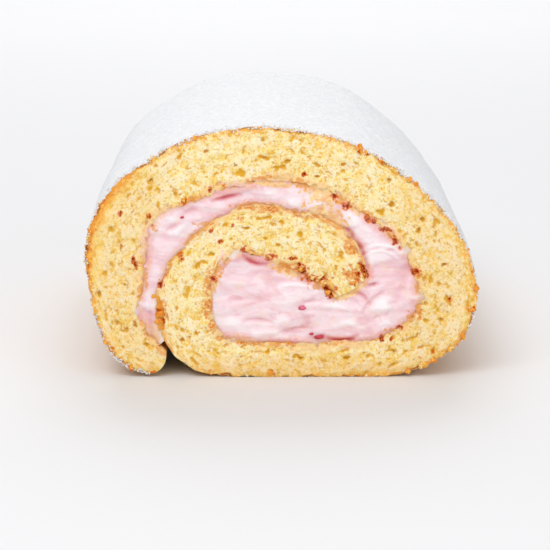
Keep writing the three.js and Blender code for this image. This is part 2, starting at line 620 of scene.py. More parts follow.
class Graph:
    """The nodes of one material."""

    def __init__(self, name: str) -> None:
        """Starts an empty material.

        Args:
            name: The material's name.
        """
        self.material = bpy.data.materials.new(name)
        self.material.use_nodes = True
        self.nodes = self.material.node_tree.nodes
        self.links = self.material.node_tree.links
        self.nodes.clear()

    def node(
        self,
        kind: str,
        settings: dict[str, object] | None = None,
        inputs: dict[str | int, object] | None = None,
        output: str | int = 0,
    ) -> Wire:
        """Adds a node.

        Args:
            kind: Its type, without the ShaderNode in front.
            settings: Its settings, which are made before its sockets are filled.
            inputs: A value or a wire for each socket, by name or number.
            output: Which of its outputs is wanted.

        Returns:
            That output.
        """
        made = self.nodes.new("ShaderNode" + kind)
        for key, value in (settings or {}).items():
            setattr(made, key, value)
        for key, value in (inputs or {}).items():
            if isinstance(value, Wire):
                self.links.new(value.socket, made.inputs[key])
            else:
                made.inputs[key].default_value = value
        return Wire(self, made.outputs[output])

    def stored(self, name: str, vector: bool = False) -> Wire:
        """A number or a vector that was stored at the mesh's points."""
        return self.node("Attribute", {"attribute_name": name}, output="Vector" if vector else "Fac")

    def blend(self, share: "Wire | float", first: "Wire | Colour", second: "Wire | Colour") -> Wire:
        """The first colour with a share of the second mixed in."""
        return self.node("Mix", {"data_type": "RGBA"}, {0: share, 6: first, 7: second}, output=2)

    def mottle(self, at: Wire, scale: float, detail: float = 2.0, warp: float = 0.0) -> Wire:
        """Soft noise, mostly from 0.3 to 0.7, with scale lumps for each unit, stirred by warp."""
        sockets = {"Vector": at, "Scale": scale, "Detail": detail, "Distortion": warp}
        return self.node("TexNoise", None, sockets)

    def specks(self, at: Wire, scale: float) -> Wire:
        """The distance to the nearest of many scattered points, scale of them for each unit."""
        return self.node("TexVoronoi", None, {"Vector": at, "Scale": scale}, output="Distance")

    def stretched(self, at: Wire, scale: tuple[float, float, float]) -> Wire:
        """A vector scaled by a different amount each way."""
        return self.node("VectorMath", {"operation": "MULTIPLY"}, {0: at, 1: scale})

    def moved(self, at: Wire, far: float) -> Wire:
        """A vector moved the same amount each way, to meet another part of a noise."""
        return self.node("VectorMath", {"operation": "ADD"}, {0: at, 1: (far, far, far)})

    def bump(self, height: Wire, distance: float, strength: float) -> Wire:
        """The normals of a fine relief that stands up to a distance in metres, with a share of it showing."""
        return self.node("Bump", None, {"Height": height, "Distance": distance, "Strength": strength})

    def surface(self, **sockets: object) -> bpy.types.Material:
        """Ends the material in a Principled shader.

        Args:
            sockets: A value or a wire for each of its sockets, with underscores for spaces.

        Returns:
            The material.
        """
        named = {name.replace("_", " "): value for name, value in sockets.items()}
        shader = self.node("BsdfPrincipled", None, named)
        out = self.nodes.new("ShaderNodeOutputMaterial")
        self.links.new(shader.socket, out.inputs["Surface"])
        return self.material


class Finish:
    """What makes a material."""

    def material(self) -> bpy.types.Material:
        """Makes the material, which each finish does in its own way."""
        raise NotImplementedError


@dataclass(frozen=True)
class CrumbFinish(Finish):
    """Yellow sponge crumb with a browned skin.

    Attributes:
        name: The material's name.
        crumb: The crumb's main colour.
        pale: Its lightest flecks, partly a painted highlight on the high points of its grain.
        golden: Its richer patches.
        deep: Painted shade down in its air holes and pits, and in the low points of its grain.
        toasted: Just under the browned skin, and in the skin where it is browned least.
        crust: The browned outer skin.
        freckle: Its darker freckles.
        skin: Its face, away from the cuts.
        scorched: Round the dark specks.
        tan: The thin skin next to the cream.
        soaked: Crumb that has drawn in some of the cream.
        stained: Crumb with a film of cream on it.
        caramel: The dark specks.
        sugar: Powder on the skin.
        low_shade_and_flanks: Darker golden crumb low down, which is painted shade, and towards the flanks.
    """

    name: str = "sponge_crumb"
    crumb: Colour = tone(253, 231, 164)
    pale: Colour = tone(255, 240, 212)
    golden: Colour = tone(248, 208, 98)
    deep: Colour = tone(226, 166, 0)
    toasted: Colour = tone(244, 182, 88)
    crust: Colour = tone(238, 162, 64)
    freckle: Colour = tone(218, 132, 44)
    skin: Colour = tone(230, 178, 116)
    scorched: Colour = tone(214, 98, 6)
    tan: Colour = tone(232, 156, 76)
    soaked: Colour = tone(249, 206, 146)
    stained: Colour = tone(248, 204, 190)
    caramel: Colour = tone(144, 24, 0)
    sugar: Colour = tone(247, 246, 246)
    low_shade_and_flanks: Colour = tone(222, 174, 96)

    def crumb_colour(self, g: Graph, sheet: Wire, grain: Wire) -> Wire:
        """Colours plain crumb.

        Args:
            g: The material's graph.
            sheet: The vector that it follows, in millimetres.
            grain: Fine noise.

        Returns:
            The colour.
        """
        light, rich = g.mottle(sheet, 0.35, 3.0), g.mottle(g.moved(sheet, 3.0), 0.5, 3.0, 0.5)
        colour = g.blend(light.step(0.36, 0.66) * 0.65, self.crumb, self.pale)
        colour = g.blend(rich.step(0.48, 0.64) * 0.8, colour, self.golden)
        # The grain is also the bump's height: its high points take the pale colour as painted highlight, and
        # its low points the deep colour as painted shade.
        colour = g.blend(grain.step(0.5, 0.66) * 0.7, colour, self.pale)
        return g.blend(grain.step(0.46, 0.3) * 0.55, colour, self.deep)

    def specked(self, g: Graph, colour: Wire, sheet: Wire) -> Wire:
        """Adds the dark specks.

        Args:
            g: The material's graph.
            colour: The colour so far.
            sheet: The vector that their ragged outlines follow, in millimetres.

        Returns:
            The colour.
        """
        inside = g.stored("speck")
        ragged = inside * 0.8 + (g.mottle(g.moved(sheet, 27.0), 1.7, 3.0, 0.5) - 0.5) * 2.6
        halo = inside.step(0.0, 0.25) * ragged.step(-0.3, 0.4)
        core = inside.step(0.2, 0.6) * ragged.step(0.52, 0.9)
        return g.blend(core * 0.97, g.blend(halo * 0.85, colour, self.scorched), self.caramel)

    def beside_cream(self, g: Graph, colour: Wire, tans: Wire, patches: Wire, uneven: Wire) -> Wire:
        """Soaks, stains and browns the crumb beside the cream.

        Args:
            g: The material's graph.
            colour: The crumb's colour so far.
            tans: The colour of the thin skin.
            patches: Broad noise.
            uneven: Fine noise.

        Returns:
            The colour.
        """
        from_cream = g.stored("from_cream")
        soaked = from_cream - patches.step(0.35, 0.6) * 2.6 - uneven * 3.0
        colour = g.blend(soaked.step(0.0, -2.6) * 0.8, colour, self.soaked)
        browned = from_cream + patches.step(0.4, 0.56) * 2.0 - uneven * 3.6
        colour = g.blend(browned.step(0.1, -1.0) * 0.85, colour, tans)
        return g.blend(g.stored("stained") * 0.85, colour, self.stained)

    def near_crust(self, g: Graph, colour: Wire, patches: Wire, ragged: Wire, sheet: Wire) -> Wire:
        """Warms, toasts and browns the crumb towards the outer skin.

        Args:
            g: The material's graph.
            colour: The crumb's colour so far.
            patches: Broad noise.
            ragged: Noise that frays the layers.
            sheet: The vector that the freckles follow, in millimetres.

        Returns:
            The colour.
        """
        from_crust, untoasted, skin = g.stored("from_crust"), g.stored("untoasted"), g.stored("skin")
        warmed = from_crust + untoasted * 1.6 - ragged * 3.0
        colour = g.blend(warmed.step(5.0, 0.0) * 0.5, colour, self.golden)
        under = from_crust + untoasted - ragged * 5.0 - patches.step(0.4, 0.6) * 1.4
        colour = g.blend(under.step(0.2, -1.8) * 0.9, colour, self.toasted)
        crust = from_crust + untoasted * 0.35 + 0.9 - ragged * 4.8 - skin * 1.5
        freckles = g.mottle(sheet, 0.5, 5.0, 0.3).step(0.42, 0.62)
        browning = g.blend(freckles * 0.85, self.crust, self.freckle)
        browning = g.blend(untoasted * 0.4, browning, self.toasted)
        browning = g.blend(skin * 0.7, browning, self.skin)
        return g.blend(crust.step(0.2, -0.5) * 0.9, colour, browning)

    def on_marks(self, g: Graph, colour: Wire, tans: Wire, ragged: Wire, sheet: Wire) -> Wire:
        """Browns and scorches the crumb where single marks lie on it.

        Args:
            g: The material's graph.
            colour: The crumb's colour so far.
            tans: The colour of the thin skin.
            ragged: Noise that frays the marks.
            sheet: The vector that the flecks follow, in millimetres.

        Returns:
            The colour.
        """
        browned = g.stored("browned")
        tanned = browned + (ragged - 0.5) * 2.4
        colour = g.blend(browned.step(0.0, 0.3) * tanned.step(0.3, 0.9) * 0.85, colour, tans)
        flecks = browned * 0.4 + g.mottle(g.moved(sheet, 17.0), 1.3, 3.0, 0.4)
        colour = g.blend(browned.step(0.1, 0.5) * flecks.step(0.88, 1.02) * 0.65, colour, self.scorched)
        return self.specked(g, colour, sheet)

    def material(self) -> bpy.types.Material:
        """Makes the material.

        Returns:
            The material.
        """
        g = Graph(self.name)
        sheet = g.stored("sheet", vector=True)
        patches = g.mottle(sheet, 0.13, 3.0, 0.8)
        uneven = g.mottle(sheet, 0.7, 4.0, 0.5)
        # The grain follows the cut's relief height a little, so its pale and deep colours fall partly as
        # painted light and shade on that relief.
        grain = g.mottle(sheet, 1.5, 4.0, 0.5) + g.stored("height") * 0.1
        drawn_out = g.stretched(g.moved(sheet, 7.0), (0.7, 1.0, 1.0))
        pits = g.mottle(drawn_out, 0.9, 2.0, 0.6).step(0.39, 0.3)
        fine_pits = g.mottle(g.moved(sheet, 13.0), 1.9, 1.0, 0.3).step(0.37, 0.28)
        ragged = uneven + g.mottle(g.moved(sheet, 5.0), 1.6, 3.0, 0.4) - 0.5
        tans = g.blend(grain.step(0.46, 0.62) * 0.6, self.tan, self.soaked)

        colour = self.crumb_colour(g, sheet, grain)
        # Painted shade: the pits of the noise and the pores of the cut, where the bump and the relief dip,
        # take the deep colour.
        colour = g.blend((fine_pits * 0.6).largest(pits * 0.8), colour, self.deep)
        colour = g.blend(g.stored("pore").step(0.05, 0.8) * 0.85, colour, self.deep)
        colour = g.blend(g.stored("low_shade_and_flanks") * 0.45, colour, self.low_shade_and_flanks)
        colour = self.beside_cream(g, colour, tans, patches, uneven)
        colour = self.near_crust(g, colour, patches, ragged, sheet)
        colour = self.on_marks(g, colour, tans, ragged, sheet)
        powder = g.mottle(g.moved(sheet, 21.0), 1.5, 4.0, 0.3) + g.stored("powder") * 0.55
        colour = g.blend(powder.step(0.74, 0.92) * 0.92, colour, self.sugar)
        relief = grain * 0.8 - fine_pits * 0.4 - pits * 0.6
        return g.surface(
            Base_Color=colour,
            Roughness=0.82,
            Normal=g.bump(relief, 0.0005, 0.6),
            Subsurface_Weight=0.35,
            Subsurface_Radius=(1.6, 1.0, 0.4),
            Subsurface_Scale=MM,
            Specular_IOR_Level=0.1,
        )


@dataclass(frozen=True)
class CreamFinish(Finish):
    """Whipped cream coloured with berry.

    Attributes:
        pale: Its lightest streaks.
        pink: Its main colour.
        rose: Its deeper streaks.
        berry: In its deepest creases.
        thin: Where it is spread thin over the crumb.
        warm: Patches where some crumb is stirred in.
        rubbed: Its edge where skin has rubbed off on it.
        bled: Its edge where berry has gathered.
        white: Painted highlight on its ridges and raised parts.
        crumbled: At its loose end, where crumb is mixed in.
        crumb: Crumb that the knife has dragged over it.
    """

    pale: Colour = tone(249, 227, 232)
    pink: Colour = tone(240, 200, 207)
    rose: Colour = tone(234, 174, 182)
    berry: Colour = tone(206, 62, 78)
    thin: Colour = tone(244, 198, 174)
    warm: Colour = tone(250, 222, 204)
    rubbed: Colour = tone(238, 170, 120)
    bled: Colour = tone(238, 160, 166)
    white: Colour = tone(255, 244, 246)
    crumbled: Colour = tone(240, 190, 136)
    crumb: CrumbFinish = CrumbFinish()

    def streaked(self, g: Graph, spread: Wire) -> Wire:
        """Colours plain cream, with its pale and deep streaks.

        Args:
            g: The material's graph.
            spread: The vector that it follows, in millimetres.

        Returns:
            The colour.
        """
        swirls = g.mottle(g.stretched(spread, (0.09, 0.2, 0.17)), 1.0, 3.0, 1.0)
        streaks = g.mottle(g.stretched(spread, (0.11, 0.3, 0.34)), 1.0, 2.0, 1.4)
        paleness = 0.85 - g.stored("richer") * 0.4
        colour = g.blend(swirls.step(0.62, 0.44) * paleness, self.pink, self.pale)
        return g.blend(streaks.step(0.54, 0.72) * 0.5, colour, self.rose)

    def edged(self, g: Graph, colour: Wire, spread: Wire) -> Wire:
        """Colours the cream towards its edges and its loose end.

        Args:
            g: The material's graph.
            colour: The colour so far.
            spread: The vector that it follows, in millimetres.

        Returns:
            The colour.
        """
        from_sponge = g.stored("from_sponge")
        edge = from_sponge - g.mottle(spread, 0.4, 3.0) * 4.0
        colour = g.blend(edge.step(0.6, -1.6) * 0.6, colour, self.rose)
        stirred = g.mottle(g.moved(spread, 30.0), 0.3, 4.0, 0.3)
        colour = g.blend(stirred.step(0.52, 0.68) * 0.45, colour, self.warm)
        thin = from_sponge - g.mottle(g.moved(spread, 9.0), 0.7, 4.0, 0.4) * 5.0
        colour = g.blend(thin.step(-0.4, -3.0) * 0.75, colour, self.thin)
        rubbed = g.mottle(g.moved(spread, 40.0), 0.16, 3.0, 0.5)
        edging = g.blend(rubbed.step(0.46, 0.54), self.rubbed, self.bled)
        outline = g.stored("from_edge") - g.mottle(g.moved(spread, 50.0), 1.3, 3.0, 0.4) * 4.4
        colour = g.blend(outline.step(0.2, -1.2) * 0.7, colour, edging)
        crumbled = g.stored("from_tip") - g.mottle(spread, 0.8, 4.0, 0.5) * 9.0
        return g.blend(crumbled.step(7.0, 0.0) * 0.85, colour, self.crumbled)

    def dragged_crumb(self, g: Graph, spread: Wire) -> Wire:
        """Colours the crumb that the knife has dragged over the cream.

        Args:
            g: The material's graph.
            spread: The vector that it follows, in millimetres.

        Returns:
            The colour.
        """
        plain = g.mottle(g.moved(spread, 70.0), 0.3, 3.0, 0.5).step(0.5, 0.66)
        tanned = g.mottle(g.moved(spread, 60.0), 0.5, 4.0, 0.5).step(0.44, 0.62)
        colour = g.blend(plain * 0.6, self.crumb.soaked, self.crumb.crumb)
        return g.blend(tanned * 0.6, colour, self.crumb.tan)

    def material(self) -> bpy.types.Material:
        """Makes the material.

        Returns:
            The material.
        """
        g = Graph("berry_cream")
        spread = g.stored("spread", vector=True)
        fine = g.mottle(g.stretched(spread, (0.5, 0.6, 0.7)), 1.0, 4.0, 0.9)
        grain = g.mottle(spread, 1.5, 4.0, 0.5)
        dragged = g.stored("dragged") + (grain - 0.5) * 0.9
        browned = g.stored("browned") + (grain - 0.5) * 2.4

        colour = self.edged(g, self.streaked(g, spread), spread)
        colour = g.blend(g.stored("rose"), colour, self.berry)
        # Painted highlight: the raised parts of the cut and of the bump, and the knife's ridges, turn white.
        colour = g.blend((g.stored("raised") + fine * 0.6).step(0.5, 1.2) * 0.7, colour, self.white)
        colour = g.blend(g.stored("white"), colour, self.white)
        colour = g.blend(dragged.step(0.05, 0.75) * 0.9, colour, self.dragged_crumb(g, spread))
        colour = g.blend(browned.step(0.3, 0.9) * 0.8, colour, self.crumb.tan)
        colour = self.crumb.specked(g, colour, spread)
        return g.surface(
            Base_Color=colour,
            Roughness=0.4 + dragged.step(0.2, 0.6) * 0.4,
            Normal=g.bump(fine, 0.0007, 0.4),
            Subsurface_Weight=0.5,
            Subsurface_Radius=(3.0, 1.8, 2.0),
            Subsurface_Scale=MM,
        )


@dataclass(frozen=True)
class BerryFinish(Finish):
    """Bits of berry in the cream.

    Attributes:
        red: Its colour.
        bled: Where the cream covers it.
    """

    red: Colour = tone(196, 56, 74)
    bled: Colour = tone(226, 120, 150)

    def material(self) -> bpy.types.Material:
        """Makes the material.

        Returns:
            The material.
        """
        g = Graph("berry_flesh")
        here = g.node("TexCoord", output="Object")
        film = g.mottle(here, 500.0, 3.0)
        return g.surface(
            Base_Color=g.blend(film.step(0.48, 0.66), self.red, self.bled),
            Roughness=0.3,
            Normal=g.bump(film, 0.0003, 0.5),
            Subsurface_Weight=0.3,
            Subsurface_Radius=(1.0, 0.3, 0.3),
            Subsurface_Scale=MM,
        )


@dataclass(frozen=True)
class SugarFinish(Finish):
    """Icing sugar, as a coat or as loose grains.

    Attributes:
        name: The material's name.
        white: Its main colour.
        shade: Painted shade between its clumps and its grains.
        through: Where it is so thin that the skin shows between its grains.
    """

    name: str
    white: Colour = tone(246, 247, 249)
    shade: Colour = tone(212, 213, 222)
    through: Colour = tone(198, 182, 176)

    def material(self) -> bpy.types.Material:
        """Makes the material.

        Returns:
            The material.
        """
        g = Graph(self.name)
        here = g.node("TexCoord", output="Object")
        clumps = g.mottle(here, 700.0, 5.0, 0.3)
        gaps = g.mottle(here, 1900.0, 2.0, 0.2)
        # Painted shade between the clumps and in the gaps between grains, where the bump dips.
        colour = g.blend(clumps.step(0.62, 0.36) * 0.25, self.white, self.shade)
        colour = g.blend(gaps.step(0.42, 0.3) * 0.6, colour, self.shade)
        thin = g.mottle(here, 1500.0, 3.0, 0.2) - g.stored("thinned") * 0.1
        colour = g.blend(thin.step(0.32, 0.25) * 0.85, colour, self.through)
        return g.surface(
            Base_Color=colour,
            Roughness=0.75,
            Normal=g.bump(gaps + g.specks(here, 2600.0) * 0.4, 0.0004, 0.7),
            Specular_IOR_Level=0.3,
        )


@dataclass(frozen=True)
class FloorFinish(Finish):
    """The pale floor.

    Attributes:
        pale: Its colour.
        tint: Its slightly darker patches.
    """

    pale: Colour = tone(234, 234, 236)
    tint: Colour = tone(230, 230, 232)

    def material(self) -> bpy.types.Material:
        """Makes the material.

        Returns:
            The material.
        """
        g = Graph("pale_floor")
        here = g.node("TexCoord", output="Object")
        colour = g.blend(g.mottle(here, 3.0) * 0.2, self.pale, self.tint)
        return g.surface(Base_Color=colour, Roughness=0.7)


# --- The pieces -----------------------------------------------------------------------------------------


@dataclass(frozen=True)
class ChanceSpecks:
    """Dark specks that lie in the crumb by chance.

    Attributes:
        spacing: How far apart their places are.
        share: How many of those places hold one.
        radius: The smallest and the largest radius.
        lot: How far along X the chance is drawn that sets each one's radius.
        moved: How far the whole scatter is moved, to meet another part of it.
        drawn_out: How much closer together their places are read along the sheet, through it and along the
            roll, which draws them out.
    """

    spacing: float = 2.8
    share: float = 0.6
    radius: tuple[float, float] = (0.5, 1.1)
    lot: float = 31.0
    moved: float = 90.0
    drawn_out: tuple[float, float, float] = (0.8, 1.0, 1.0)

    def cover(self, sheet: Values) -> Values:
        """How far each point lies within a speck.

        Args:
            sheet: Points in millimetres along the sheet, through it and along the roll.

        Returns:
            1 well within one, down to 0 at its edge and outside.
        """
        within = np.zeros(len(sheet))
        low, high = self.radius
        for i, place in enumerate(((sheet * self.drawn_out + self.moved) / self.spacing).tolist()):
            away, middles = noise.voronoi(place)
            across, *rest = middles[0]
            if abs(noise.cell(middles[0])) <= self.share:
                radius = low + (high - low) * abs(noise.cell((across + self.lot, *rest)))
                within[i] = 1 - away[0] / (radius / self.spacing)
        return smooth_step(0.0, 0.7, within)


@dataclass(frozen=True)
class CutMark:
    """One mark on the shown cut, where it is on the swirl.

    Attributes:
        kind: What it is.
        x: Its middle.
        z: Its middle.
        width: Its size across.
        height: Its size upwards.
        lean: How far its top leans to the right, in degrees.
        fade: Where it starts and where it is full, as a share of the way from its middle to its edge.
        frayed: How much unevenness breaks up its outline.
    """

    kind: Mark
    x: float
    z: float
    width: float
    height: float
    lean: float = 0.0
    fade: ClassVar[tuple[float, float]] = (1.3, 0.4)
    frayed: ClassVar[float] = 0.8

    def cover(self, section: Values, ragged: Values) -> Values:
        """How far each point lies within the mark.

        Args:
            section: x and z of each point.
            ragged: Unevenness of each point, which breaks up the outline.

        Returns:
            1 at its middle, down to 0 at its edge and outside.
        """
        cos, sin = math.cos(math.radians(self.lean)), math.sin(math.radians(self.lean))
        right, up = section[:, 0] - self.x, section[:, 1] - self.z
        across, along = right * cos - up * sin, right * sin + up * cos
        away = np.hypot(across / self.width * 2, along / self.height * 2)
        return smooth_step(*self.fade, away + self.frayed * ragged)


@dataclass(frozen=True)
class KnifeStroke:
    """One crease or ridge on the cream's shown cut.

    Attributes:
        bend: x and z of its start, its middle and its end.
        width: How wide it is.
        depth: How deep it goes, or how high it stands where it is less than 0.
        rose: How much berry has gathered in it, from 0 to 1.
        steps: How many straight steps its bend is measured in.
        faded: How near its ends it stops fading, as a share of its length.
    """

    bend: tuple[Spot, Spot, Spot]
    width: float
    depth: float
    rose: float = 0.0
    steps: ClassVar[int] = 24
    faded: ClassVar[float] = 0.06

    def press(self, section: Values) -> Values:
        """How fully each point lies in the stroke.

        Args:
            section: x and z of each point.

        Returns:
            1 in the middle of the stroke, down to 0 away from it.
        """
        start, middle, end = np.array(self.bend)
        t = np.linspace(0, 1, self.steps + 1)[:, None]
        line = (1 - t) ** 2 * start + 2 * t * (1 - t) * (2 * middle - (start + end) / 2) + t**2 * end
        away = np.linalg.norm(section[:, None, :] - line, axis=2)
        nearest = np.argmin(away, axis=1) / self.steps
        fades = np.sin(math.pi * np.clip(nearest, self.faded, 1 - self.faded)) ** 0.5
        return fades * np.exp(-((away.min(axis=1) / self.width) ** 2))


@dataclass
class Sponge:
    """The rolled sheet of sponge.

    Attributes:
        form: The roll.
        marks: Single marks on the shown cut.
        columns: Faces along the sheet, away from the cuts.
        rows: Faces through it.
        drawn_out: How much closer together the crumb's noise is read along the sheet, through it and along
            the roll, which draws its holes out.
        crag, crags: Height of the crags on a cut face, and where they are.
        grain: Height of its fine grain.
        rim_loss, broken: Deepest crumb broken out of a cut edge, and where it is.
        rim_width: How far in from a cut edge the face drops away.
        pits, pores, wide_pores: Depth of the air pits, and where the small and the wide ones are.
        torn, torn_lumps: Height of the lumps where the knife has torn the crumb, and where they are.
        speck_depth: How deep the dark specks lie.
        far_specks, far_browned, far_stained: What lies beside the cream on the far cut.
        thin_crust: How much less deep the crumb is toasted away from the darkest part of the crust.
        darkest: The stations where the crust starts to darken, is darkest, starts to pale and is pale again.
        low_down: How high up the crumb is darkened low down, as painted shade.
        flanks: How far out, from the roll's middle, the crumb is darkened at the sides.
    """

    form: RollForm
    marks: tuple[CutMark, ...] = ()
    columns: int = 400
    rows: int = 20
    drawn_out: tuple[float, float, float] = (0.72, 1.0, 1.0)
    crag: float = 0.4
    crags: Lumps = Lumps(3.6, 3, 5.0)
    grain: float = 0.22
    rim_loss: float = 1.3
    broken: Lumps = Lumps(2.4, 4, 7.0)
    rim_width: float = 1.8
    pits: float = 0.65
    pores: Lumps = Lumps(1.7, 2, 8.0)
    wide_pores: Lumps = Lumps(3.4, 3, 9.0)
    torn: float = 0.6
    torn_lumps: Lumps = Lumps(1.7, 3, 19.0)
    speck_depth: float = 0.2
    far_specks: ChanceSpecks = ChanceSpecks()
    far_browned: Lumps = Lumps(5.0, 3, 17.0)
    far_stained: Lumps = Lumps(7.0, 2, 18.0)
    thin_crust: float = 2.0
    darkest: tuple[float, float, float, float] = (3.4, 4.8, 6.8, 8.4)
    low_down: Reach = (9.0, 1.0)
    flanks: Reach = (26.0, 40.0)

    def build(self) -> Piece:
        """Makes the sponge.

        Returns:
            The piece.
        """
        line, length = self.form.line, self.form.length
        slices = graded(0.5 / length, 6.0 / length, 1.6)
        piece = cut_block("sponge_roll", self.columns, self.rows, slices)
        along, roll, through = piece.places.T
        mm = along * line.mm_at(line.last)
        station = line.station_at(mm)
        side = 2 * through - 1
        y = (roll - 0.5) * length
        _, direction, thickness = line.at(station)
        sheet = np.stack([mm, side * thickness / 2, y], axis=1)
        from_end = length / 2 - np.abs(y)
        from_skin = (1 - side) * thickness / 2
        from_inside = (1 + side) * thickness / 2
        outside = smooth_step(line.under + 0.5, line.under - 0.5, station)

        section = line.point(station, side, self.form.surface(station, side, y))
        bulge = line.end_bulge * (1 - side * side)
        section = section - direction * (bulge * smooth_step(1e-3, 0, along))[:, None]
        section = section + direction * (bulge * smooth_step(1 - 1e-3, 1, along))[:, None]

        looks = {name: np.zeros(len(y)) for name in ("height", "pore", "speck", "browned", "stained")}
        from_cream = np.minimum(from_inside, from_skin + WELL_INSIDE * outside)
        for end in CutEnd:
            face = (from_end < ON_CUT) & (np.sign(y) == end.value)
            edge = np.minimum(from_skin, from_inside)[face]
            relief, seen = self._cut_face(sheet[face], section[face], edge, from_cream[face], end)
            y[face] += end.value * relief
            for name, values in seen.items():
                looks[name][face] = values
        piece.places = self.form.place(section, y) * MM

        on_skin = side > 0.99
        looks["from_crust"] = from_skin + WELL_INSIDE * (1 - outside)
        looks["untoasted"] = self.thin_crust * (1 - stretch_of(self.darkest, station))
        looks["from_cream"] = from_cream
        # Darker crumb low down, which is painted shade, and towards the flanks.
        flank = 0.45 * smooth_step(*self.flanks, np.abs(section[:, 0]))
        looks["low_shade_and_flanks"] = np.maximum(smooth_step(*self.low_down, section[:, 1]), flank)
        looks["skin"] = 1.0 * on_skin * (from_end > ON_CUT)
        bared = 1 - 0.35 * smooth_step(3.0, 1.2, from_end)
        looks["powder"] = smooth_step(-0.75, 0.75, direction[:, 0]) * outside * bared * on_skin
        piece.keep("sheet", sheet)
        for name, values in looks.items():
            piece.keep(name, values)
        return piece.dress(CrumbFinish(), "sponge", "sponge", crease=60)

    def _cut_face(
        self, sheet: Values, section: Values, edge: Values, from_cream: Values, end: CutEnd
    ) -> tuple[Values, dict[str, Values]]:
        """Works out a cut face.

        Args:
            sheet: Its points along, across and down the sheet.
            section: x and z of each point.
            edge: How far each is from the nearer face of the sheet.
            from_cream: How far each is from the cream.
            end: Which end it is.

        Returns:
            How far each point stands out, and the values that its finish reads, by name.
        """
        drawn_out = sheet * self.drawn_out
        grain = GRAIN.at(drawn_out)
        relief = self.crag * self.crags.at(drawn_out) + self.grain * grain
        pore = smooth_step(0.34, 0.85, self.pores.at(drawn_out))
        pore = np.maximum(pore, smooth_step(0.62, 1.0, self.wide_pores.at(drawn_out)))
        relief = relief - self.pits * pore
        # The finish colours the cut by these: low relief and pores darker, as painted shade, and high relief
        # paler, as painted light.
        seen = {"height": np.clip(relief / self.crag, -1, 1), "pore": pore}

        drop = np.where(edge < from_cream - 0.01, 1.0, 0.25)  # the edge beside the cream is the firmer one
        near_edge = np.clip(1 - edge / self.rim_width, 0, 1) ** 2 * drop
        broken = np.clip(self.broken.at(drawn_out) * 1.5, 0, 1)
        relief = relief - near_edge * self.rim_loss * (0.2 + broken)
        if end is CutEnd.FAR:
            seen |= self._far_marks(sheet, from_cream)
        else:
            relief = relief + self._shown_marks(sheet, section, grain, seen)
        return relief - self.speck_depth * seen["speck"], seen

    def _far_marks(self, sheet: Values, from_cream: Values) -> dict[str, Values]:
        """Marks the far cut by chance, beside the cream.

        Args:
            sheet: Its points along, across and down the sheet.
            from_cream: How far each is from the cream.

        Returns:
            The values that the finish reads, by name.
        """
        beside = smooth_step(3.6, 0.6, from_cream)
        return {
            "speck": self.far_specks.cover(sheet) * smooth_step(4.5, 0.6, from_cream),
            "browned": beside * smooth_step(0.05, 0.45, self.far_browned.at(sheet)),
            "stained": beside * smooth_step(0.15, 0.5, self.far_stained.at(sheet)) * 0.8,
        }

    def _shown_marks(self, sheet: Values, section: Values, grain: Values, seen: dict[str, Values]) -> Values:
        """Marks the shown cut one by one.

        Args:
            sheet: Its points along, across and down the sheet.
            section: x and z of each point.
            grain: The crumb's grain, which frays the marks.
            seen: The values that the finish reads, by name, to which the marks are added.

        Returns:
            How far the marks lift each point.
        """
        seen |= {name: np.zeros(len(sheet)) for name in ("browned", "stained", "speck")}
        names = {Mark.HOLE: "pore", Mark.SPECK: "speck", Mark.BROWNED: "browned", Mark.STAINED: "stained"}
        lifts = {Mark.HOLE: -1.0, Mark.SPECK: 0.0, Mark.BROWNED: -0.15, Mark.STAINED: 0.1}
        lumps = self.torn_lumps.at(sheet)
        lift = np.zeros(len(sheet))
        for mark in self.marks:
            cover = mark.cover(section, grain)
            if mark.kind is Mark.TORN:
                lift += cover * (self.torn * lumps - 0.1)
                seen["speck"] = np.maximum(seen["speck"], 0.55 * cover * smooth_step(-0.2, -0.6, lumps))
                seen["browned"] = np.maximum(seen["browned"], cover * smooth_step(0.15, -0.35, lumps))
            elif mark.kind in names:
                lift += lifts[mark.kind] * cover
                seen[names[mark.kind]] = np.maximum(seen[names[mark.kind]], cover)
        return lift


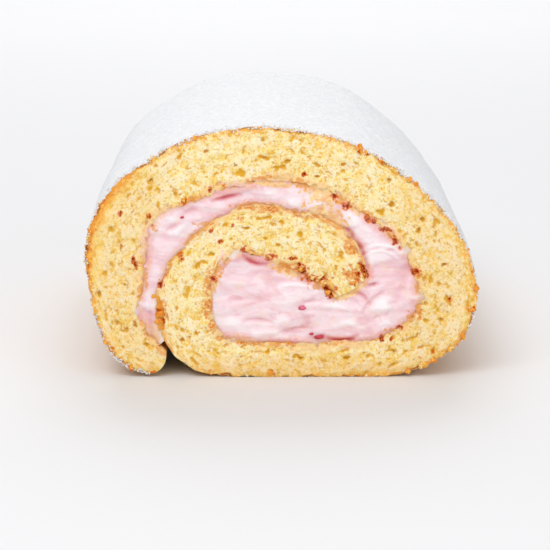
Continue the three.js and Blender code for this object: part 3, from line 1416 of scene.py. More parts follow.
@dataclass
class Cream:
    """The whipped cream between the turns of the sheet.

    Attributes:
        form: The roll.
        strokes: Creases and ridges on the shown cut.
        marks: Single marks on the shown cut, of which it bears those where crumb lies over it.
        columns: Faces along the layer, away from the cuts.
        rows: Faces through it.
        rungs: Pairs of places on its outer and its inner wall, in stations.
        clear: Its gap to the sponge inside the roll.
        smear, spilled, frayed: How far it is spread over the sponge at a cut, and how unevenly.
        feather: How far it thins there.
        waves, waved, ridged: Height of the unevenness that spreading it left, and where it is.
        flow, stirred: How it was drawn out when it was spread, and how that wanders.
        tip: How far from its loose end it lies back, and where it does so fully.
        pushed_in: The station near the sheet's inner end where it is spread furthest over the sponge.
        pocket_bulge: How much of the way to the sheet it bulges at the closed end of its pocket.
        richer: The stations where its colour starts to deepen, is deep, starts to pale and is pale again.
    """

    form: RollForm
    strokes: tuple[KnifeStroke, ...] = ()
    marks: tuple[CutMark, ...] = ()
    columns: int = 240
    rows: int = 40
    rungs: tuple[Spot, ...] = (
        (0.5, 24.7), (3, 26), (6, 28), (9, 29.5), (12, 32.1), (15, 34), (19, 35), (21, 36.6), (22, 38.7),
        (23, 40.5), (24.6, 42),
    )
    clear: float = 0.1
    smear: float = 1.4
    spilled: Lumps = Lumps(6.0, 3, 13.0)
    frayed: Lumps = Lumps(1.8, 2, 15.0)
    feather: float = 0.6
    waves: float = 1.1
    waved: Lumps = Lumps(7.0, 3, 11.0)
    ridged: Lumps = Lumps(3.2, 3, 12.0)
    flow: tuple[float, float, float] = (0.6, 1.0, 1.0)
    stirred: Lumps = Lumps(9.0, 2, 14.0)
    tip: Reach = (9.0, 2.0)
    pushed_in: float = 32.2
    pocket_bulge: float = 0.35
    richer: tuple[float, float, float, float] = (12.8, 14.2, 17.0, 19.5)

    def _inner_wall(self, station: Values, gap: Values) -> Values:
        """The wall on the sheet's outer skin, then round its inner end, then back along its inside.

        Args:
            station: Places along the wall; past the last station it turns over the end, one station wide.
            gap: How far off the sponge the wall is.

        Returns:
            x and z of each point.
        """
        line = self.form.line
        past = station - line.last
        over = np.clip(past, 0, 1)
        back = np.where(past > 1, line.last - (past - 1), np.minimum(station, line.last))
        side = 1 - 2 * over
        bulge = line.end_bulge * (1 - side**2) + gap * (1 - side**8)
        round_end = np.where((past > 0) & (past < 1), bulge, 0.0)
        _, along, _ = line.at(back)
        return line.point(back, side, gap) + along * round_end[:, None]

    def _spill(self, mm: Values, wall: int, y: Values, at_cut: Values) -> Values:
        """The cream's gap to the sponge, which turns into an uneven spill over it at a cut.

        Args:
            mm: Places along the wall.
            wall: Which wall it is.
            y: Where along the roll each lies.
            at_cut: 1 at a cut, down to 0 away from it.

        Returns:
            The gap, less than 0 where the cream lies over the sponge.
        """
        apart = 50.0  # so that no two walls or ends are uneven in the same way
        places = np.stack([mm, np.full_like(mm, apart * wall), np.sign(y) * apart], axis=1)
        uneven = np.clip(1 + self.spilled.at(places) + 0.4 * self.frayed.at(places), 0.1, 1.8)
        return self.clear - (self.clear + self.smear * uneven) * at_cut

    def _pocket_end(self, mm: Values, shares: Values, y: Values, at_cut: Values) -> Values:
        """How far the cream bulges at the closed end of its pocket, towards the sheet that curves round it.

        Args:
            mm: Places along the layer.
            shares: Places across it, from its inner wall to its outer wall.
            y: Where along the roll each lies.
            at_cut: 1 at a cut, down to 0 away from it.

        Returns:
            The change in x and z of each point.
        """
        line = self.form.line
        outer_end, inner_end = self.rungs[-1][0], 2 * line.last + 1 - self.rungs[-1][1]
        ends = line.point(np.array([inner_end, outer_end]), -np.ones(2), np.full(2, self.clear))
        station = inner_end + (outer_end - inner_end) * shares
        gap = self._spill(line.mm_at(station), 2, y, at_cut)
        against = line.point(station, -np.ones_like(station), gap)
        chord = ends[0] + (ends[1] - ends[0]) * shares[:, None]
        return (against - chord) * self.pocket_bulge * smooth_step(mm.max() - 6, mm.max(), mm)[:, None]

    def _walls(
        self, mm: Values, station: Values, y: Values, at_cut: Values
    ) -> tuple[list[Values], Values, Values]:
        """Lays the outer and the inner wall against the sponge.

        Args:
            mm: Places along the layer.
            station: The same places in stations.
            y: Where along the roll each lies.
            at_cut: 1 at a cut, down to 0 away from it.

        Returns:
            The gap at each wall, then x and z of the outer and of the inner wall's points.
        """
        line = self.form.line
        opposite = np.interp(station, *np.array(self.rungs).T)
        off_corner = 1 - 0.8 * np.exp(-(((opposite - line.last - 0.5) / 1.6) ** 4))
        off_corner = off_corner + 0.9 * np.exp(-(((opposite - self.pushed_in) / 0.8) ** 2))
        in_pocket = 1 - 0.7 * smooth_step(mm.max() - 9, mm.max() - 2, mm)
        spilling = at_cut * in_pocket, at_cut * off_corner * in_pocket
        gaps = [self._spill(mm, wall, y, share) for wall, share in enumerate(spilling)]
        outer = line.point(station, -np.ones_like(station), gaps[0])
        return gaps, outer, self._inner_wall(opposite, gaps[1])

    def build(self) -> Piece:
        """Makes the cream.

        Returns:
            The piece.
        """
        line, length = self.form.line, self.form.length
        slices = graded(0.8 / length, 9.0 / length, 1.7)
        piece = cut_block("berry_cream", self.columns, self.rows, slices)
        along, roll, through = piece.places.T
        first, last = self.rungs[0][0], self.rungs[-1][0]
        mm = line.mm_at(first) + along * (line.mm_at(last) - line.mm_at(first))
        station = line.station_at(mm)
        y = (roll - 0.5) * length
        from_end = length / 2 - np.abs(y)
        at_cut = smooth_step(2.4, 0.0, from_end)
        gaps, outer, inner = self._walls(mm, station, y, at_cut)
        width = np.linalg.norm(outer - inner, axis=1)
        from_tip = mm - mm.min()
        narrowed = 0.6 + 0.4 * np.clip(from_tip / 1.5, 0, 1) ** 0.5
        shares = 0.5 + (through - 0.5) * narrowed
        section = inner + (outer - inner) * shares[:, None] + self._pocket_end(mm, shares, y, at_cut)
        from_sponge = np.minimum((1 - shares) * width + gaps[0], shares * width + gaps[1])
        from_sponge = np.minimum(from_sponge, (mm.max() - mm) * 0.8 - self.feather)
        spread = np.stack([section[:, 0], y, section[:, 1]], axis=1)

        names = ("rose", "white", "raised", "dragged", "browned", "speck")
        looks = {name: np.zeros(len(y)) for name in names}
        for end in CutEnd:
            face = (from_end < ON_CUT) & (np.sign(y) == end.value)
            flow = spread[face] * self.flow + 0.9 * self.stirred.at(spread[face])[:, None]
            # The finish whitens the raised parts of this relief as painted highlight.
            seen = {"raised": self.waved.at(flow) + 0.25 * np.abs(self.ridged.at(flow))}
            relief = self.waves * seen["raised"]
            relief = relief - self.feather * smooth_step(1.0, -self.smear, from_sponge[face])
            relief = relief - 0.7 * smooth_step(*self.tip, from_tip[face])
            if end is CutEnd.SHOWN:
                relief = relief + self._shown_marks(section[face], GRAIN.at(spread[face]), seen)
            y[face] += end.value * relief
            for name, values in seen.items():
                looks[name][face] = values
        piece.places = self.form.place(section, y) * MM

        looks["from_sponge"] = from_sponge
        looks["from_edge"] = np.minimum(np.minimum(shares, 1 - shares) * width, mm.max() - mm)
        looks["from_tip"] = from_tip
        looks["richer"] = stretch_of(self.richer, station)
        piece.keep("spread", spread)
        for name, values in looks.items():
            piece.keep(name, values)
        return piece.dress(CreamFinish(), "cream", "cream", crease=60)

    def _shown_marks(self, section: Values, grain: Values, seen: dict[str, Values]) -> Values:
        """Presses the knife's strokes into the shown cut and lays the dragged crumb over it.

        Args:
            section: x and z of each point.
            grain: The crumb's grain, which frays the marks.
            seen: The values that the finish reads, by name, to which the marks are added.

        Returns:
            How far they lift each point.
        """
        seen |= {name: np.zeros(len(section)) for name in ("rose", "white", "dragged", "browned", "speck")}
        lift = np.zeros(len(section))
        for stroke in self.strokes:
            press = stroke.press(section)
            lift -= stroke.depth * press
            # Ridges, where the depth is less than 0, are whitened as painted highlight; creases gather berry.
            name, amount = ("rose", stroke.rose) if stroke.rose else ("white", 0.8 * (stroke.depth < 0))
            seen[name] = np.maximum(seen[name], press * amount)
        for mark in self.marks:
            name = mark.kind.value
            if name in seen:
                seen[name] = np.maximum(seen[name], mark.cover(section, grain))
        return lift + seen["dragged"] * 0.25 * grain


@dataclass
class SugarCoat:
    """The coat of icing sugar on the top of the roll, which sinks into the skin where there is none.

    Attributes:
        form: The roll.
        span: The stations between which it lies on the outer skin.
        columns, slices: Faces along the sheet and along the roll, each cut in four on its upper side.
        thick: Its thickness on top.
        drifts, clumps: Its broad and its fine unevenness.
        root: How deep its underside lies under the skin.
        set_back, ragged: How far from each cut it ends, and how unevenly.
        thinning: Where it thins towards a cut.
        patchy: Where so little lies near a cut that the skin shows through.
    """

    form: RollForm
    span: Spot = (4.0, 16.0)
    columns: int = 60
    slices: int = 72
    thick: float = 0.7
    drifts: Lumps = Lumps(7.0, 3, 21.0)
    clumps: Lumps = Lumps(1.8, 2, 22.0)
    root: float = 0.9
    set_back: float = 1.3
    ragged: Lumps = Lumps(1.9, 4, 24.0)
    thinning: Lumps = Lumps(1.5, 2, 23.0)
    patchy: Lumps = Lumps(6.0, 2, 25.0)

    def build(self) -> Piece:
        """Makes the coat.

        Returns:
            The piece.
        """
        line, length = self.form.line, self.form.length
        piece = flat_block("sugar_coat", self.columns, 1, np.linspace(0, 1, self.slices + 1).tolist())
        piece.refine(lambda middles: middles[:, 2] > 1 - 1e-4, 3)
        along, roll, through = piece.places.T
        first, last = (line.mm_at(station) for station in self.span)
        mm = first + along * (last - first)
        station = line.station_at(mm)
        y = (roll - 0.5) * (length - 2 * self.set_back)
        _, direction, _ = line.at(station)
        sheet = np.stack([mm, np.zeros_like(mm), y], axis=1)
        from_end = length / 2 - np.abs(y)
        ragged = np.clip(0.9 * self.ragged.at(sheet), -0.8, 0.9)
        y = y - np.sign(y) * smooth_step(3.6, self.set_back, from_end) * ragged
        cover = smooth_step(0.05, 0.8, direction[:, 0])
        lumps = 0.2 * self.drifts.at(sheet) + 0.3 * self.clumps.at(sheet)
        lift = self.thick * (cover * 1.3 - 0.45) + lumps * (0.4 + 0.8 * (1 - cover))
        thins = np.clip(1 + 1.3 * self.thinning.at(sheet), 0.4, 2.2)
        lift = lift - 0.5 * smooth_step(3.4, self.set_back, from_end) * thins
        lift = np.where(through > 0.5, lift, -0.4 - self.root * smooth_step(1.6, 4.6, from_end))
        piece.places = self.form.skin(station, y, lift) * MM
        piece.keep("thinned", smooth_step(9.0, 1.0, from_end) * (1 + 0.6 * self.patchy.at(sheet)))
        return piece.dress(SugarFinish("sugar_coat"), "icing_sugar")


@dataclass
class SugarGrains:
    """Loose grains of icing sugar over the skin.

    Attributes:
        form: The roll.
        lot: Which chance lays them.
        count: How many lie on the skin.
        span: The stations between which they lie there.
        bed: The unevenness of the sugar that they lie on.
        rim_count: How many cling to the rim of each cut.
        rim_zones: The stations between which they cling there, and the share of them that do.
        hanging: How far they hang from the rim in each zone.
        size: The smallest and the largest.
        rim_size: How much larger those at the rim are.
    """

    form: RollForm
    lot: int = 5
    count: int = 14400
    span: Spot = (0.5, 20.0)
    bed: Lumps = Lumps(1.8, 1, 22.0)
    rim_count: int = 900
    rim_zones: tuple[tuple[float, float, float], ...] = (
        (0.3, 3.2, 0.32), (3.2, 7.0, 0.08), (7.0, 12.0, 0.24), (12.0, 17.5, 0.36),
    )
    hanging: tuple[float, ...] = (0.55, 0.35, 0.35, 0.35)
    size: tuple[float, float] = (0.11, 0.28)
    rim_size: float = 1.2

    def _on_skin(self, draw: np.random.Generator) -> tuple[Values, Values, Values]:
        """Lays grains on the skin, fewer where it turns down.

        Args:
            draw: Where the random numbers come from.

        Returns:
            The station of each, where along the roll it lies, and how far off the skin.
        """
        line, tries = self.form.line, self.count * 6
        mm = draw.uniform(*(line.mm_at(station) for station in self.span), tries)
        y = draw.uniform(-0.5, 0.5, tries) * (self.form.length - 0.4)
        station = line.station_at(mm)
        _, direction, _ = line.at(station)
        chance = 0.06 + 0.94 * smooth_step(-0.3, 0.7, direction[:, 0])
        kept = np.flatnonzero(draw.uniform(size=tries) < chance)[: self.count]
        sheet = np.stack([mm[kept], np.zeros(len(kept)), y[kept]], axis=1)
        lift = 0.35 * smooth_step(0.2, 0.9, direction[kept, 0]) + 0.1 * self.bed.at(sheet)
        return station[kept], y[kept], lift

    def _on_rims(self, draw: np.random.Generator) -> tuple[Values, Values, Values]:
        """Lays grains on the rims of the two cuts.

        Args:
            draw: Where the random numbers come from.

        Returns:
            The station of each, where along the roll it lies, and how far off the skin.
        """
        line, rims, zones = self.form.line, 2 * self.rim_count, np.array(self.rim_zones)
        zone = draw.choice(len(zones), rims, p=zones[:, 2])
        station = line.station_at(draw.uniform(line.mm_at(zones[zone, 0]), line.mm_at(zones[zone, 1])))
        lift = 0.25 - np.abs(draw.normal(size=rims)) * np.array(self.hanging)[zone]
        forward = np.where(draw.uniform(size=rims) < 0.3, 0.3, -0.1) - 0.9 * draw.uniform(size=rims)
        ends = np.repeat([end.value for end in CutEnd], self.rim_count)
        return station, ends * (self.form.length / 2 + forward), lift

    def build(self) -> Piece:
        """Makes the grains.

        Returns:
            The piece.
        """
        draw = np.random.default_rng(self.lot)
        bpy.ops.object.select_all(action="DESELECT")
        bpy.ops.mesh.primitive_uv_sphere_add(segments=3, ring_count=3, radius=1.0)
        grain = added("sugar_grain")
        groups = self._on_skin(draw), self._on_rims(draw)
        station, y, lift = (np.concatenate(values) for values in zip(*groups))
        larger = np.repeat([1.0, self.rim_size], [len(group[0]) for group in groups])
        sizes = draw.uniform(*self.size, len(station)) * larger
        places = self.form.skin(station, y, lift)
        piece = scattered("sugar_grains", grain, random_turns(draw, sizes), places)
        # The grains take a whiter sugar than the coat: painted light that offsets the shade they sit in on
        # the rims and flanks.
        finish = SugarFinish("sugar_grains", white=tone(253, 252, 252), shade=tone(240, 238, 240))
        return piece.dress(finish, "icing_sugar")


@dataclass
class Crumbs:
    """Fine crumbs that cling to the cut edges.

    Attributes:
        form: The roll.
        lot: Which chance lays them.
        count: How many there are at each cut.
        size: The smallest and the largest, measured from the middle.
        craggy: Their unevenness, for one of size 1.
        on_crust, on_crumb: How far from the crust the colours of the two kinds are.
    """

    form: RollForm
    lot: int = 11
    count: int = 420
    size: tuple[float, float] = (0.16, 0.42)
    craggy: Lumps = Lumps(0.9, 3, 31.0)
    on_crust: float = 0.6
    on_crumb: float = 6.0

    def build(self) -> Piece:
        """Makes the crumbs.

        Returns:
            The piece.
        """
        line, half = self.form.line, self.form.length / 2
        draw = np.random.default_rng(self.lot)
        crumb = ball("crumb_pattern", 1)
        crumb.places = crumb.places * (1 + 0.5 * self.craggy.at(crumb.places))[:, None]
        mm = draw.uniform(line.mm_at(0.6), line.mm_at(line.under), 2 * self.count)
        smallest, largest = self.size
        sizes = smallest + (largest - smallest) * draw.uniform(size=len(mm)) ** 2.5
        inwards = draw.uniform(-0.3, 0.7, len(mm))
        ends = np.repeat([end.value for end in CutEnd], self.count)
        y = ends * (half - 0.3 - draw.exponential(0.4, len(mm)))
        places = self.form.skin(line.station_at(mm), y, -inwards)
        piece = scattered("cake_crumbs", crumb, random_turns(draw, sizes), places)
        from_crust = np.where(draw.uniform(size=len(mm)) < 0.5, self.on_crust, self.on_crumb)
        return dress_crumbs(piece, places, from_crust)


@dataclass
class TornCrumb:
    """Larger bits of crumb and crust torn up by the knife: on the shown rim and on both cuts.

    Attributes:
        form: The roll.
        lot: Which chance turns them, and lays those on the far cut.
        on_rim: On the shown rim: the station of each, its size, and how far from the crust its colour is.
        on_cut: On the shown cut: x, z and size of each, and how far from the crust its colour is.
        far_count: How many there are on the far cut, beside the cream.
        crags, craggy: How craggy they are, as a share of their size, and where.
        sunk: How deep they sit, as a share of their size.
        squashed: How far those on a cut stand out, as a share of their size.
    """

    form: RollForm
    lot: int = 12
    on_rim: tuple[tuple[float, float, float], ...] = (
        (11.95, 1.1, 0.9), (12.08, 0.8, 1.2), (12.37, 0.8, 0.9), (13.0, 1.0, 1.0), (13.12, 0.7, 0.8),
        (9.1, 0.7, 0.8), (15.9, 0.7, 0.8), (16.4, 0.9, 0.9), (17.05, 0.9, 0.8), (17.45, 1.0, 1.8),
        (17.75, 0.9, 2.4), (18.05, 1.0, 1.2), (18.35, 1.0, 1.8), (18.8, 0.8, 1.0), (2.3, 0.8, 0.9),
        (1.1, 0.8, 0.9),
    )
    on_cut: tuple[tuple[float, float, float, float], ...] = (
        (-35.3, 22.8, 1.6, 0.2), (-34.9, 20.6, 1.7, 0.1), (-34.3, 18.6, 1.6, 0.2), (-34.1, 16.4, 1.4, 0.2),
        (-33.9, 14.8, 1.0, 0.5), (14.1, 26.6, 0.8, 2.0), (13.0, 24.4, 0.8, 1.2), (21.4, 31.8, 0.7, 1.6),
        (20.0, 27.2, 0.7, 1.0), (5.7, 31.2, 0.8, 1.2), (9.2, 29.0, 0.7, 1.6), (-2.9, 1.8, 1.0, 0.5),
        (-27.2, 50.9, 0.7, 0.9),
    )
    far_count: int = 26
    crags: float = 0.7
    craggy: Lumps = Lumps(1.3, 4, 32.0)
    sunk: float = 0.45
    squashed: float = 0.5

    def _on_far_cut(self, draw: np.random.Generator, half: float) -> tuple[Values, Values]:
        """Lays bits on the far cut, on the sheet's two faces beside the cream.

        Args:
            draw: Where the random numbers come from.
            half: Half the roll's length.

        Returns:
            The middle of each and its size.
        """
        line, count = self.form.line, self.far_count
        sizes = draw.uniform(0.6, 1.1, count)
        station = draw.uniform(4, line.last - 1, count)
        inner_turn = np.where(station > line.under + 1, 1.0, -1.0)  # only there does cream lie on both faces
        side = np.where(draw.uniform(size=count) < 0.6, -1.0, inner_turn)
        section = line.point(station, side, -draw.uniform(0.3, 1.4, count))
        return self.form.place(section, half - sizes * self.sunk), sizes

    def build(self) -> Piece:
        """Makes the bits.

        Returns:
            The piece.
        """
        half = self.form.length / 2
        draw = np.random.default_rng(self.lot)
        bit = ball("torn_pattern", 3)
        each = len(bit.mesh.vertices)
        rim, cut = np.array(self.on_rim), np.array(self.on_cut)
        on_rim = self.form.skin(rim[:, 0], rim[:, 1] * self.sunk - half, -rim[:, 1] * self.sunk)
        on_cut = self.form.place(cut[:, :2], cut[:, 2] * self.sunk * self.squashed - half)
        on_far, far_sizes = self._on_far_cut(draw, half)
        middles = np.vstack([on_rim, on_cut, on_far])
        sizes = np.concatenate([rim[:, 1], cut[:, 2], far_sizes])
        from_crust = np.concatenate([rim[:, 2], cut[:, 3], draw.uniform(0.3, 2.6, self.far_count)])
        turns = random_turns(draw, sizes)
        turns[len(rim) :, 1] *= self.squashed
        piece = scattered("torn_crumbs", bit, turns, middles)
        centres = np.repeat(middles, each, axis=0)
        points = piece.places / MM
        points = centres + (points - centres) * (1 + self.crags * self.craggy.at(points)[:, None])
        piece.places = np.maximum(points, (-np.inf, -np.inf, 0)) * MM
        return dress_crumbs(piece, middles, from_crust)


def dress_crumbs(piece: Piece, middles: Values, from_crust: Values) -> Piece:
    """Gives loose crumbs the sponge's colours, with a lighter crust and freckle as painted light against the
    shade the lumpy crumbs cast on themselves.

    Args:
        piece: The crumbs, all with as many points.
        middles: The middle of each crumb, in millimetres.
        from_crust: How far from the crust each one's colour is.

    Returns:
        The piece.
    """
    points = piece.places / MM
    piece.keep("sheet", points)
    piece.keep("from_crust", np.repeat(from_crust, len(points) // len(middles)))
    piece.keep("from_cream", np.full(len(points), WELL_INSIDE))
    piece.keep("speck", smooth_step(0.3, 0.7, SCORCHED_BITS.at(points)))
    name = piece.thing.name.replace("crumbs", "crumb")
    # A lighter crust and freckle than the sponge's: painted light that offsets the crumbs' own shade.
    return piece.dress(CrumbFinish(name, crust=tone(248, 164, 66), freckle=tone(236, 136, 44)), "sponge")


@dataclass
class BerryBits:
    """Bits of berry in the cream, which show at the cuts.

    Attributes:
        form: The roll.
        lot: Which chance sizes those on the far cut.
        shown: x and z of each bit on the shown cut, and its half width and half height.
        far: x and z of each bit on the far cut.
        thick: Half its thickness along the roll.
        dented: Its unevenness, for one of size 1.
    """

    form: RollForm
    lot: int = 3
    shown: tuple[tuple[float, float, float, float], ...] = (
        (6.1, 20.2, 1.1, 0.8), (10.8, 11.8, 1.3, 0.7), (8.6, 12.7, 0.6, 0.4), (-27.6, 46.0, 0.5, 0.4),
    )
    far: tuple[Spot, ...] = ((13.0, 14.5), (-6.0, 17.0), (25.0, 38.0), (-30.0, 42.0), (31.0, 20.0))
    thick: float = 0.6
    dented: Lumps = Lumps(1.2, 2, 41.0)

    def build(self) -> Piece:
        """Makes the bits.

        Returns:
            The piece.
        """
        half = self.form.length / 2
        draw = np.random.default_rng(self.lot)
        bit = ball("berry_pattern", 3)
        bit.places = bit.places * (1 + 0.4 * self.dented.at(bit.places))[:, None]
        shown, far = np.array(self.shown), np.array(self.far)
        section = np.vstack([shown[:, :2], far])
        sizes = np.vstack([shown[:, 2:], draw.uniform(0.4, 1.1, (len(far), 2))])
        y = np.repeat([-half - 0.1, half - 0.2], [len(shown), len(far)])
        turns = np.zeros((len(y), 3, 3))
        turns[:, 0, 0], turns[:, 1, 1], turns[:, 2, 2] = sizes[:, 0], self.thick, sizes[:, 1]
        piece = scattered("berry_bits", bit, turns, self.form.place(section, y))
        return piece.dress(BerryFinish(), "cream")


# --- The setting ----------------------------------------------------------------------------------------


@dataclass(frozen=True)
class Setting:
    """The floor, the lights and the camera.

    Attributes:
        camera_at: Where the camera stands.
        pitch: How far it looks down, in degrees.
        yaw: How far it looks to the right, in degrees.
        lens: Its focal length.
        sensor: The width of its sensor.
        floor: The floor's side.
        level: How far behind the cake the floor stays level.
        cake: The middle of the cake, which the lights face.
        glow: How bright the light from all round is.
    """

    camera_at: tuple[float, float, float] = (-5.2, -712.0, 146.5)
    pitch: float = 10.5
    yaw: float = 0.32
    lens: float = 100.0
    sensor: float = 24.0
    floor: float = 9000.0
    level: float = 2200.0
    cake: tuple[float, float, float] = (0, 0, 35)
    glow: float = 0.5

    def build(self) -> None:
        """Makes the setting."""
        self._camera()
        self._floor()
        self._lamp("window", (-400, -950, 1050), self.cake, 900, 8.9)
        self._lamp("fill", (700, -1200, 400), self.cake, 1200, 4.4)
        self._lamp("back", (-100, 1100, 1300), self.cake, 1300, 3.7)
        self._lamp("far", (0, 2000, 1500), (0, 1400, 0), 1800, 20.0)
        world = bpy.data.worlds.new("studio")
        world.use_nodes = True
        sockets = world.node_tree.nodes["Background"].inputs
        sockets["Color"].default_value, sockets["Strength"].default_value = (1.0, 1.0, 1.0, 1.0), self.glow
        bpy.context.scene.world = world
        bpy.context.scene.view_settings.view_transform = "Standard"

    def _camera(self) -> None:
        """Places the camera."""
        data = bpy.data.cameras.new("camera")
        data.lens = self.lens
        data.sensor_width = self.sensor
        data.clip_start, data.clip_end = 0.05, 50.0
        camera = bpy.data.objects.new("camera", data)
        camera.location = [value * MM for value in self.camera_at]
        camera.rotation_euler = (math.radians(90 - self.pitch), 0.0, math.radians(-self.yaw))
        bpy.context.scene.collection.objects.link(camera)
        bpy.context.scene.camera = camera

    def _floor(self) -> None:
        """Lays the floor, which curves up far behind."""
        bpy.ops.object.select_all(action="DESELECT")
        bpy.ops.mesh.primitive_grid_add(x_subdivisions=4, y_subdivisions=40, size=self.floor * MM)
        floor = added("floor")
        rows = floor.places
        rows[:, 2] = 0.35 * np.maximum(0, rows[:, 1] - self.level * MM) ** 2
        floor.places = rows
        floor.mesh.materials.append(FloorFinish().material())
        bpy.ops.object.shade_smooth()

    def _lamp(
        self, name: str, at: Sequence[float], towards: Sequence[float], size: float, power: float
    ) -> None:
        """Hangs a soft light.

        Args:
            name: The light's name.
            at: Where it hangs.
            towards: What it faces.
            size: Its side.
            power: Its power in watts.
        """
        data = bpy.data.lights.new(name, "AREA")
        data.size = size * MM
        data.energy = power
        lamp = bpy.data.objects.new(name, data)
        lamp.location = [value * MM for value in at]
        away = np.subtract(at, towards)
        tilt = math.acos(away[2] / np.linalg.norm(away))
        lamp.rotation_euler = (tilt, 0.0, math.atan2(away[1], away[0]) + math.pi / 2)
        bpy.context.scene.collection.objects.link(lamp)


# --- The shown cut --------------------------------------------------------------------------------------

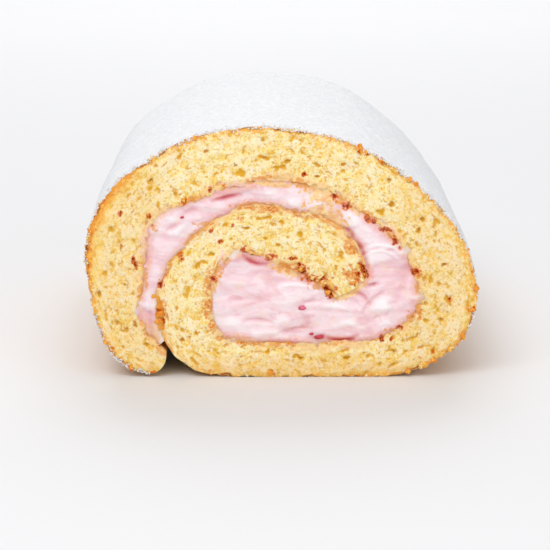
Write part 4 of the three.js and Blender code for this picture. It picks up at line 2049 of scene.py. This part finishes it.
CUT_MARKS: dict[Mark, tuple[tuple[float, ...], ...]] = {
    Mark.SPECK: (
        (-44.9, 47.1, 1.1, 1.2), (-36.8, 46.3, 1.5, 1.5), (-27.0, 50.6, 1.5, 2.3), (-19.7, 53.7, 1.1, 1.2),
        (-15.8, 54.8, 1.1, 0.8), (-19.5, 42.0, 1.5, 1.2), (-16.9, 39.2, 1.5, 1.2), (-28.1, 34.9, 1.9, 2.3),
        (-10.5, 36.6, 1.5, 2.3, 20), (-41.0, 33.2, 3.8, 1.2, 70), (6.3, 58.0, 1.1, 1.2),
        (15.0, 52.0, 1.9, 2.3, 20), (18.3, 49.4, 3.0, 1.9), (24.2, 45.7, 1.9, 1.9), (25.9, 44.9, 1.1, 2.3),
        (29.0, 42.6, 3.4, 1.2), (31.8, 39.4, 1.5, 2.3), (33.2, 37.5, 0.8, 1.5), (-3.5, 34.3, 1.9, 1.5),
        (-1.8, 35.2, 2.3, 1.2), (3.2, 34.3, 3.4, 1.0), (5.2, 32.6, 1.1, 1.9), (6.0, 30.9, 2.3, 3.1),
        (8.5, 28.6, 4.9, 1.9), (11.6, 28.6, 1.5, 1.2), (21.7, 30.0, 1.5, 1.5), (20.6, 27.2, 1.9, 1.5),
        (23.4, 30.6, 1.9, 4.2, -30), (37.9, 30.6, 3.0, 1.9), (33.2, 14.7, 1.9, 1.2), (28.4, 11.2, 1.5, 1.9),
        (31.2, 11.2, 1.1, 1.2), (47.5, 22.1, 1.1, 1.2), (43.0, 7.5, 1.1, 1.2), (-47.5, 8.7, 1.1, 1.2),
        (-36.0, 1.6, 1.5, 1.2), (-2.9, 1.6, 2.3, 1.5), (-33.7, 19.2, 1.1, 1.5), (-33.2, 16.9, 1.1, 1.9),
        (13.9, 23.8, 1.9, 1.9), (15.3, 25.5, 1.1, 1.5), (12.7, 25.5, 1.1, 1.2), (-13.6, 44.0, 1.1, 1.2),
        (-18.6, 28.6, 1.9, 1.9), (-33.7, 27.2, 1.5, 2.7, 20),
    ),
    Mark.BROWNED: (
        (-24.8, 50.8, 2.8, 1.7), (-11.3, 45.4, 3.1, 1.4), (-35.4, 43.1, 1.7, 2.6),
        (-32.1, 30.3, 1.7, 4.6, 25),
        (-37.9, 28.9, 1.7, 6.3), (-33.7, 19.5, 3.4, 8.0), (14.1, 24.9, 3.6, 3.7), (8.3, 28.9, 6.2, 2.8),
        (20.0, 29.8, 6.2, 5.1), (-18.1, 31.2, 2.2, 4.6), (-15.3, 34.0, 3.9, 1.7), (-21.1, 44.0, 6.2, 1.4),
        (-9.9, 49.2, 7.4, 2.6), (-3.0, 48.4, 8.6, 3.4), (4.8, 47.4, 6.4, 2.8), (9.9, 46.3, 6.7, 1.7),
        (19.5, 37.7, 3.4, 7.4, -20), (1.8, 31.8, 5.6, 2.8), (11.1, 26.6, 7.3, 2.6), (18.1, 30.3, 2.8, 3.4),
        (38.2, 25.8, 1.4, 4.0), (39.1, 18.4, 1.4, 4.6), (36.5, 17.8, 2.5, 2.6), (31.2, 13.8, 5.0, 1.1),
        (-9.9, 10.1, 7.3, 1.1), (1.3, 10.1, 6.7, 1.1), (-19.6, 14.5, 2.2, 4.5), (-16.4, 11.6, 4.5, 1.7),
        (-8.5, 56.0, 2.8, 1.4), (-4.1, 57.1, 5.6, 1.4), (5.4, 55.6, 6.0, 2.8, 25), (6.3, 58.2, 2.2, 1.7),
        (52.8, 19.5, 2.0, 2.6), (51.9, 12.1, 1.7, 2.6), (39.1, 5.8, 1.4, 1.4), (-20.2, 27.4, 3.2, 9.0, 12),
        (-20.8, 19.9, 3.2, 6.4), (-17.2, 31.4, 3.0, 4.0, 40), (16.8, 50.8, 6.0, 2.6, 35),
        (24.9, 45.4, 5.0, 2.4, 35), (31.2, 40.4, 7.0, 2.2, 48), (38.4, 30.2, 2.6, 4.0),
    ),
    Mark.STAINED: (
        (-5.2, 55.1, 22.4, 2.8), (-36.0, 38.0, 6.2, 11.4), (13.9, 48.6, 12.3, 3.4), (29.5, 41.2, 5.6, 4.6),
        (-32.3, 43.1, 6.7, 4.0), (-16.4, 32.6, 2.8, 8.5), (-34.9, 16.1, 2.8, 7.4), (-18.3, 47.4, 6.7, 2.3),
    ),
    Mark.HOLE: (
        (-50.8, 24.1, 1.4, 2.0), (-43.8, 13.5, 2.2, 1.7, -30), (-41.0, 15.8, 1.4, 1.7),
        (-46.1, 15.8, 1.1, 2.0),
        (-25.6, 11.8, 1.4, 1.4), (-27.6, 11.0, 1.4, 1.1), (14.1, 24.6, 2.5, 2.3), (18.6, 5.8, 1.7, 1.4),
        (31.8, 7.8, 1.1, 1.1), (30.7, 49.7, 1.4, 1.7), (39.6, 45.4, 1.1, 1.4), (30.1, 56.5, 1.4, 1.1),
        (9.9, 57.4, 2.0, 0.9), (-44.7, 37.7, 0.8, 2.3), (-43.8, 26.9, 1.4, 1.1), (-4.1, 62.5, 3.1, 1.1),
        (-12.7, 60.8, 1.1, 0.9), (38.5, 42.3, 1.1, 1.7), (-9.7, 42.9, 2.2, 0.9), (1.8, 61.7, 1.7, 1.1),
        (-36.0, 56.5, 1.1, 1.1), (-20.9, 64.5, 1.4, 0.9), (17.5, 60.8, 1.4, 1.1), (45.8, 32.6, 1.4, 1.4),
        (45.2, 16.7, 1.4, 1.1), (-11.3, 6.1, 1.4, 0.9), (5.5, 5.6, 1.4, 0.9),
    ),
    Mark.DRAGGED: (
        (11.8, 53.4, 15.0, 7.6, 26), (12.6, 46.2, 13.0, 6.6, 24), (-1.5, 55.4, 14.0, 1.8, 4),
        (1.0, 31.4, 9.0, 4.0, 25), (-18.4, 28.0, 2.4, 9.5, 12), (20.6, 48.6, 4.5, 2.6, 30),
        (19.2, 24.8, 9.5, 3.6, -25),
    ),
    Mark.TORN: (
        (11.8, 27.0, 8.0, 5.6), (6.0, 31.3, 4.2, 3.4), (21.7, 29.2, 5.0, 7.4), (13.9, 24.3, 4.0, 3.6),
        (-34.8, 19.0, 3.6, 10.0, 8),
    ),
}
KNIFE_STROKES: tuple[tuple[tuple[Spot, Spot, Spot] | float, ...], ...] = (
    (((-19.2, 50.6), (-15.3, 51.7), (-11.3, 52.3)), 0.6, 0.75, 0.94),
    (((16.9, 43.4), (19.5, 41.7), (20.0, 39.7)), 0.7, 0.9, 0.81),
    (((20.6, 39.7), (23.2, 35.4), (24.6, 29.6)), 0.7, 0.8, 0.8),
    (((22.5, 36.3), (28.1, 38.3), (33.5, 36.0)), 0.6, -0.6),
    (((23.4, 34.9), (28.1, 36.6), (32.3, 34.6)), 0.4, -0.52),
    (((24.2, 26.3), (25.6, 26.9), (27.0, 26.9)), 0.6, 1.05, 0.68),
    (((20.0, 24.1), (22.8, 23.8), (24.5, 21.5)), 0.6, 0.9, 0.41),
    (((28.4, 24.4), (25.9, 22.6), (22.8, 18.7)), 0.7, 1.05, 0.47),
    (((5.5, 20.9), (8.3, 22.1), (11.6, 21.8)), 0.7, 0.6, 0.16),
    (((-10.5, 16.4), (-6.6, 16.9), (-1.8, 15.8)), 0.6, 0.75, 0.3),
    (((-2.9, 12.1), (4.3, 14.1), (9.9, 14.4)), 0.7, 0.6, 0.27),
    (((11.9, 11.8), (17.5, 10.7), (21.4, 12.4)), 0.7, 0.9, 1.0),
    (((-32.6, 42.9), (-30.7, 42.9), (-28.7, 44.0)), 0.8, 0.45, 0.34),
    (((-27.9, 46.8), (-25.3, 47.7), (-22.8, 48.6)), 0.8, 0.45, 0.27),
    (((18.1, 46.6), (20.3, 45.1), (21.4, 43.1)), 2.2, -1.2),
    (((1.5, 49.4), (3.5, 50.0), (5.7, 49.1)), 1.7, -0.75),
    (((-5.2, 52.5), (-2.9, 53.1), (-0.1, 52.5)), 1.1, -0.6),
    (((27.3, 19.2), (29.3, 20.4), (31.2, 19.5)), 1.7, -0.9),
    (((10.5, 20.6), (15.3, 20.9), (19.5, 19.5)), 1.1, -0.75),
    (((15.3, 15.0), (18.9, 15.8), (22.3, 14.4)), 1.1, -0.75),
    (((-16.4, 15.0), (-13.9, 15.8), (-11.3, 14.4)), 1.4, -0.6),
    (((-30.4, 41.2), (-28.7, 42.3), (-26.5, 44.0)), 1.1, -0.6),
    (((-7.1, 12.7), (-2.4, 13.2), (1.3, 12.1)), 1.1, -0.6),
    (((-14.1, 21.8), (-9.9, 22.9), (-5.2, 21.8)), 0.8, 0.45, 0.14),
    (((-0.1, 26.1), (5.5, 26.9), (11.1, 24.6)), 0.8, -0.6),
    (((-10.2, 34.8), (-7.7, 33.1), (-4.0, 32.7)), 0.7, 0.6, 1.0),
    (((8.8, 48.6), (10.5, 48.3), (12.5, 48.8)), 0.6, 0.45, 0.34),
    (((2.1, 32.6), (5.5, 28.6), (8.3, 26.6)), 0.7, 0.45, 0.34),
    (((25.9, 16.9), (27.3, 17.5), (28.1, 16.4)), 0.6, 0.6, 0.27),
    (((31.2, 21.8), (34.0, 26.1), (34.6, 30.9)), 1.1, 0.6, 0.14),
    (((-36.5, 21.8), (-36.8, 16.7), (-36.0, 11.8)), 0.8, 0.3, 0.27),
)


def main() -> None:
    """Builds the cake and its setting."""
    logging.basicConfig(level=logging.INFO, format="%(message)s")
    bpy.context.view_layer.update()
    form = RollForm()
    Setting().build()
    marks = tuple(CutMark(kind, *row) for kind, rows in CUT_MARKS.items() for row in rows)
    strokes = tuple(KnifeStroke(*row) for row in KNIFE_STROKES)
    cake = Sponge(form, marks), Cream(form, strokes, marks), BerryBits(form)
    for part in (*cake, SugarCoat(form), SugarGrains(form), Crumbs(form), TornCrumb(form)):
        part.build()


if __name__ == "__main__":
    main()
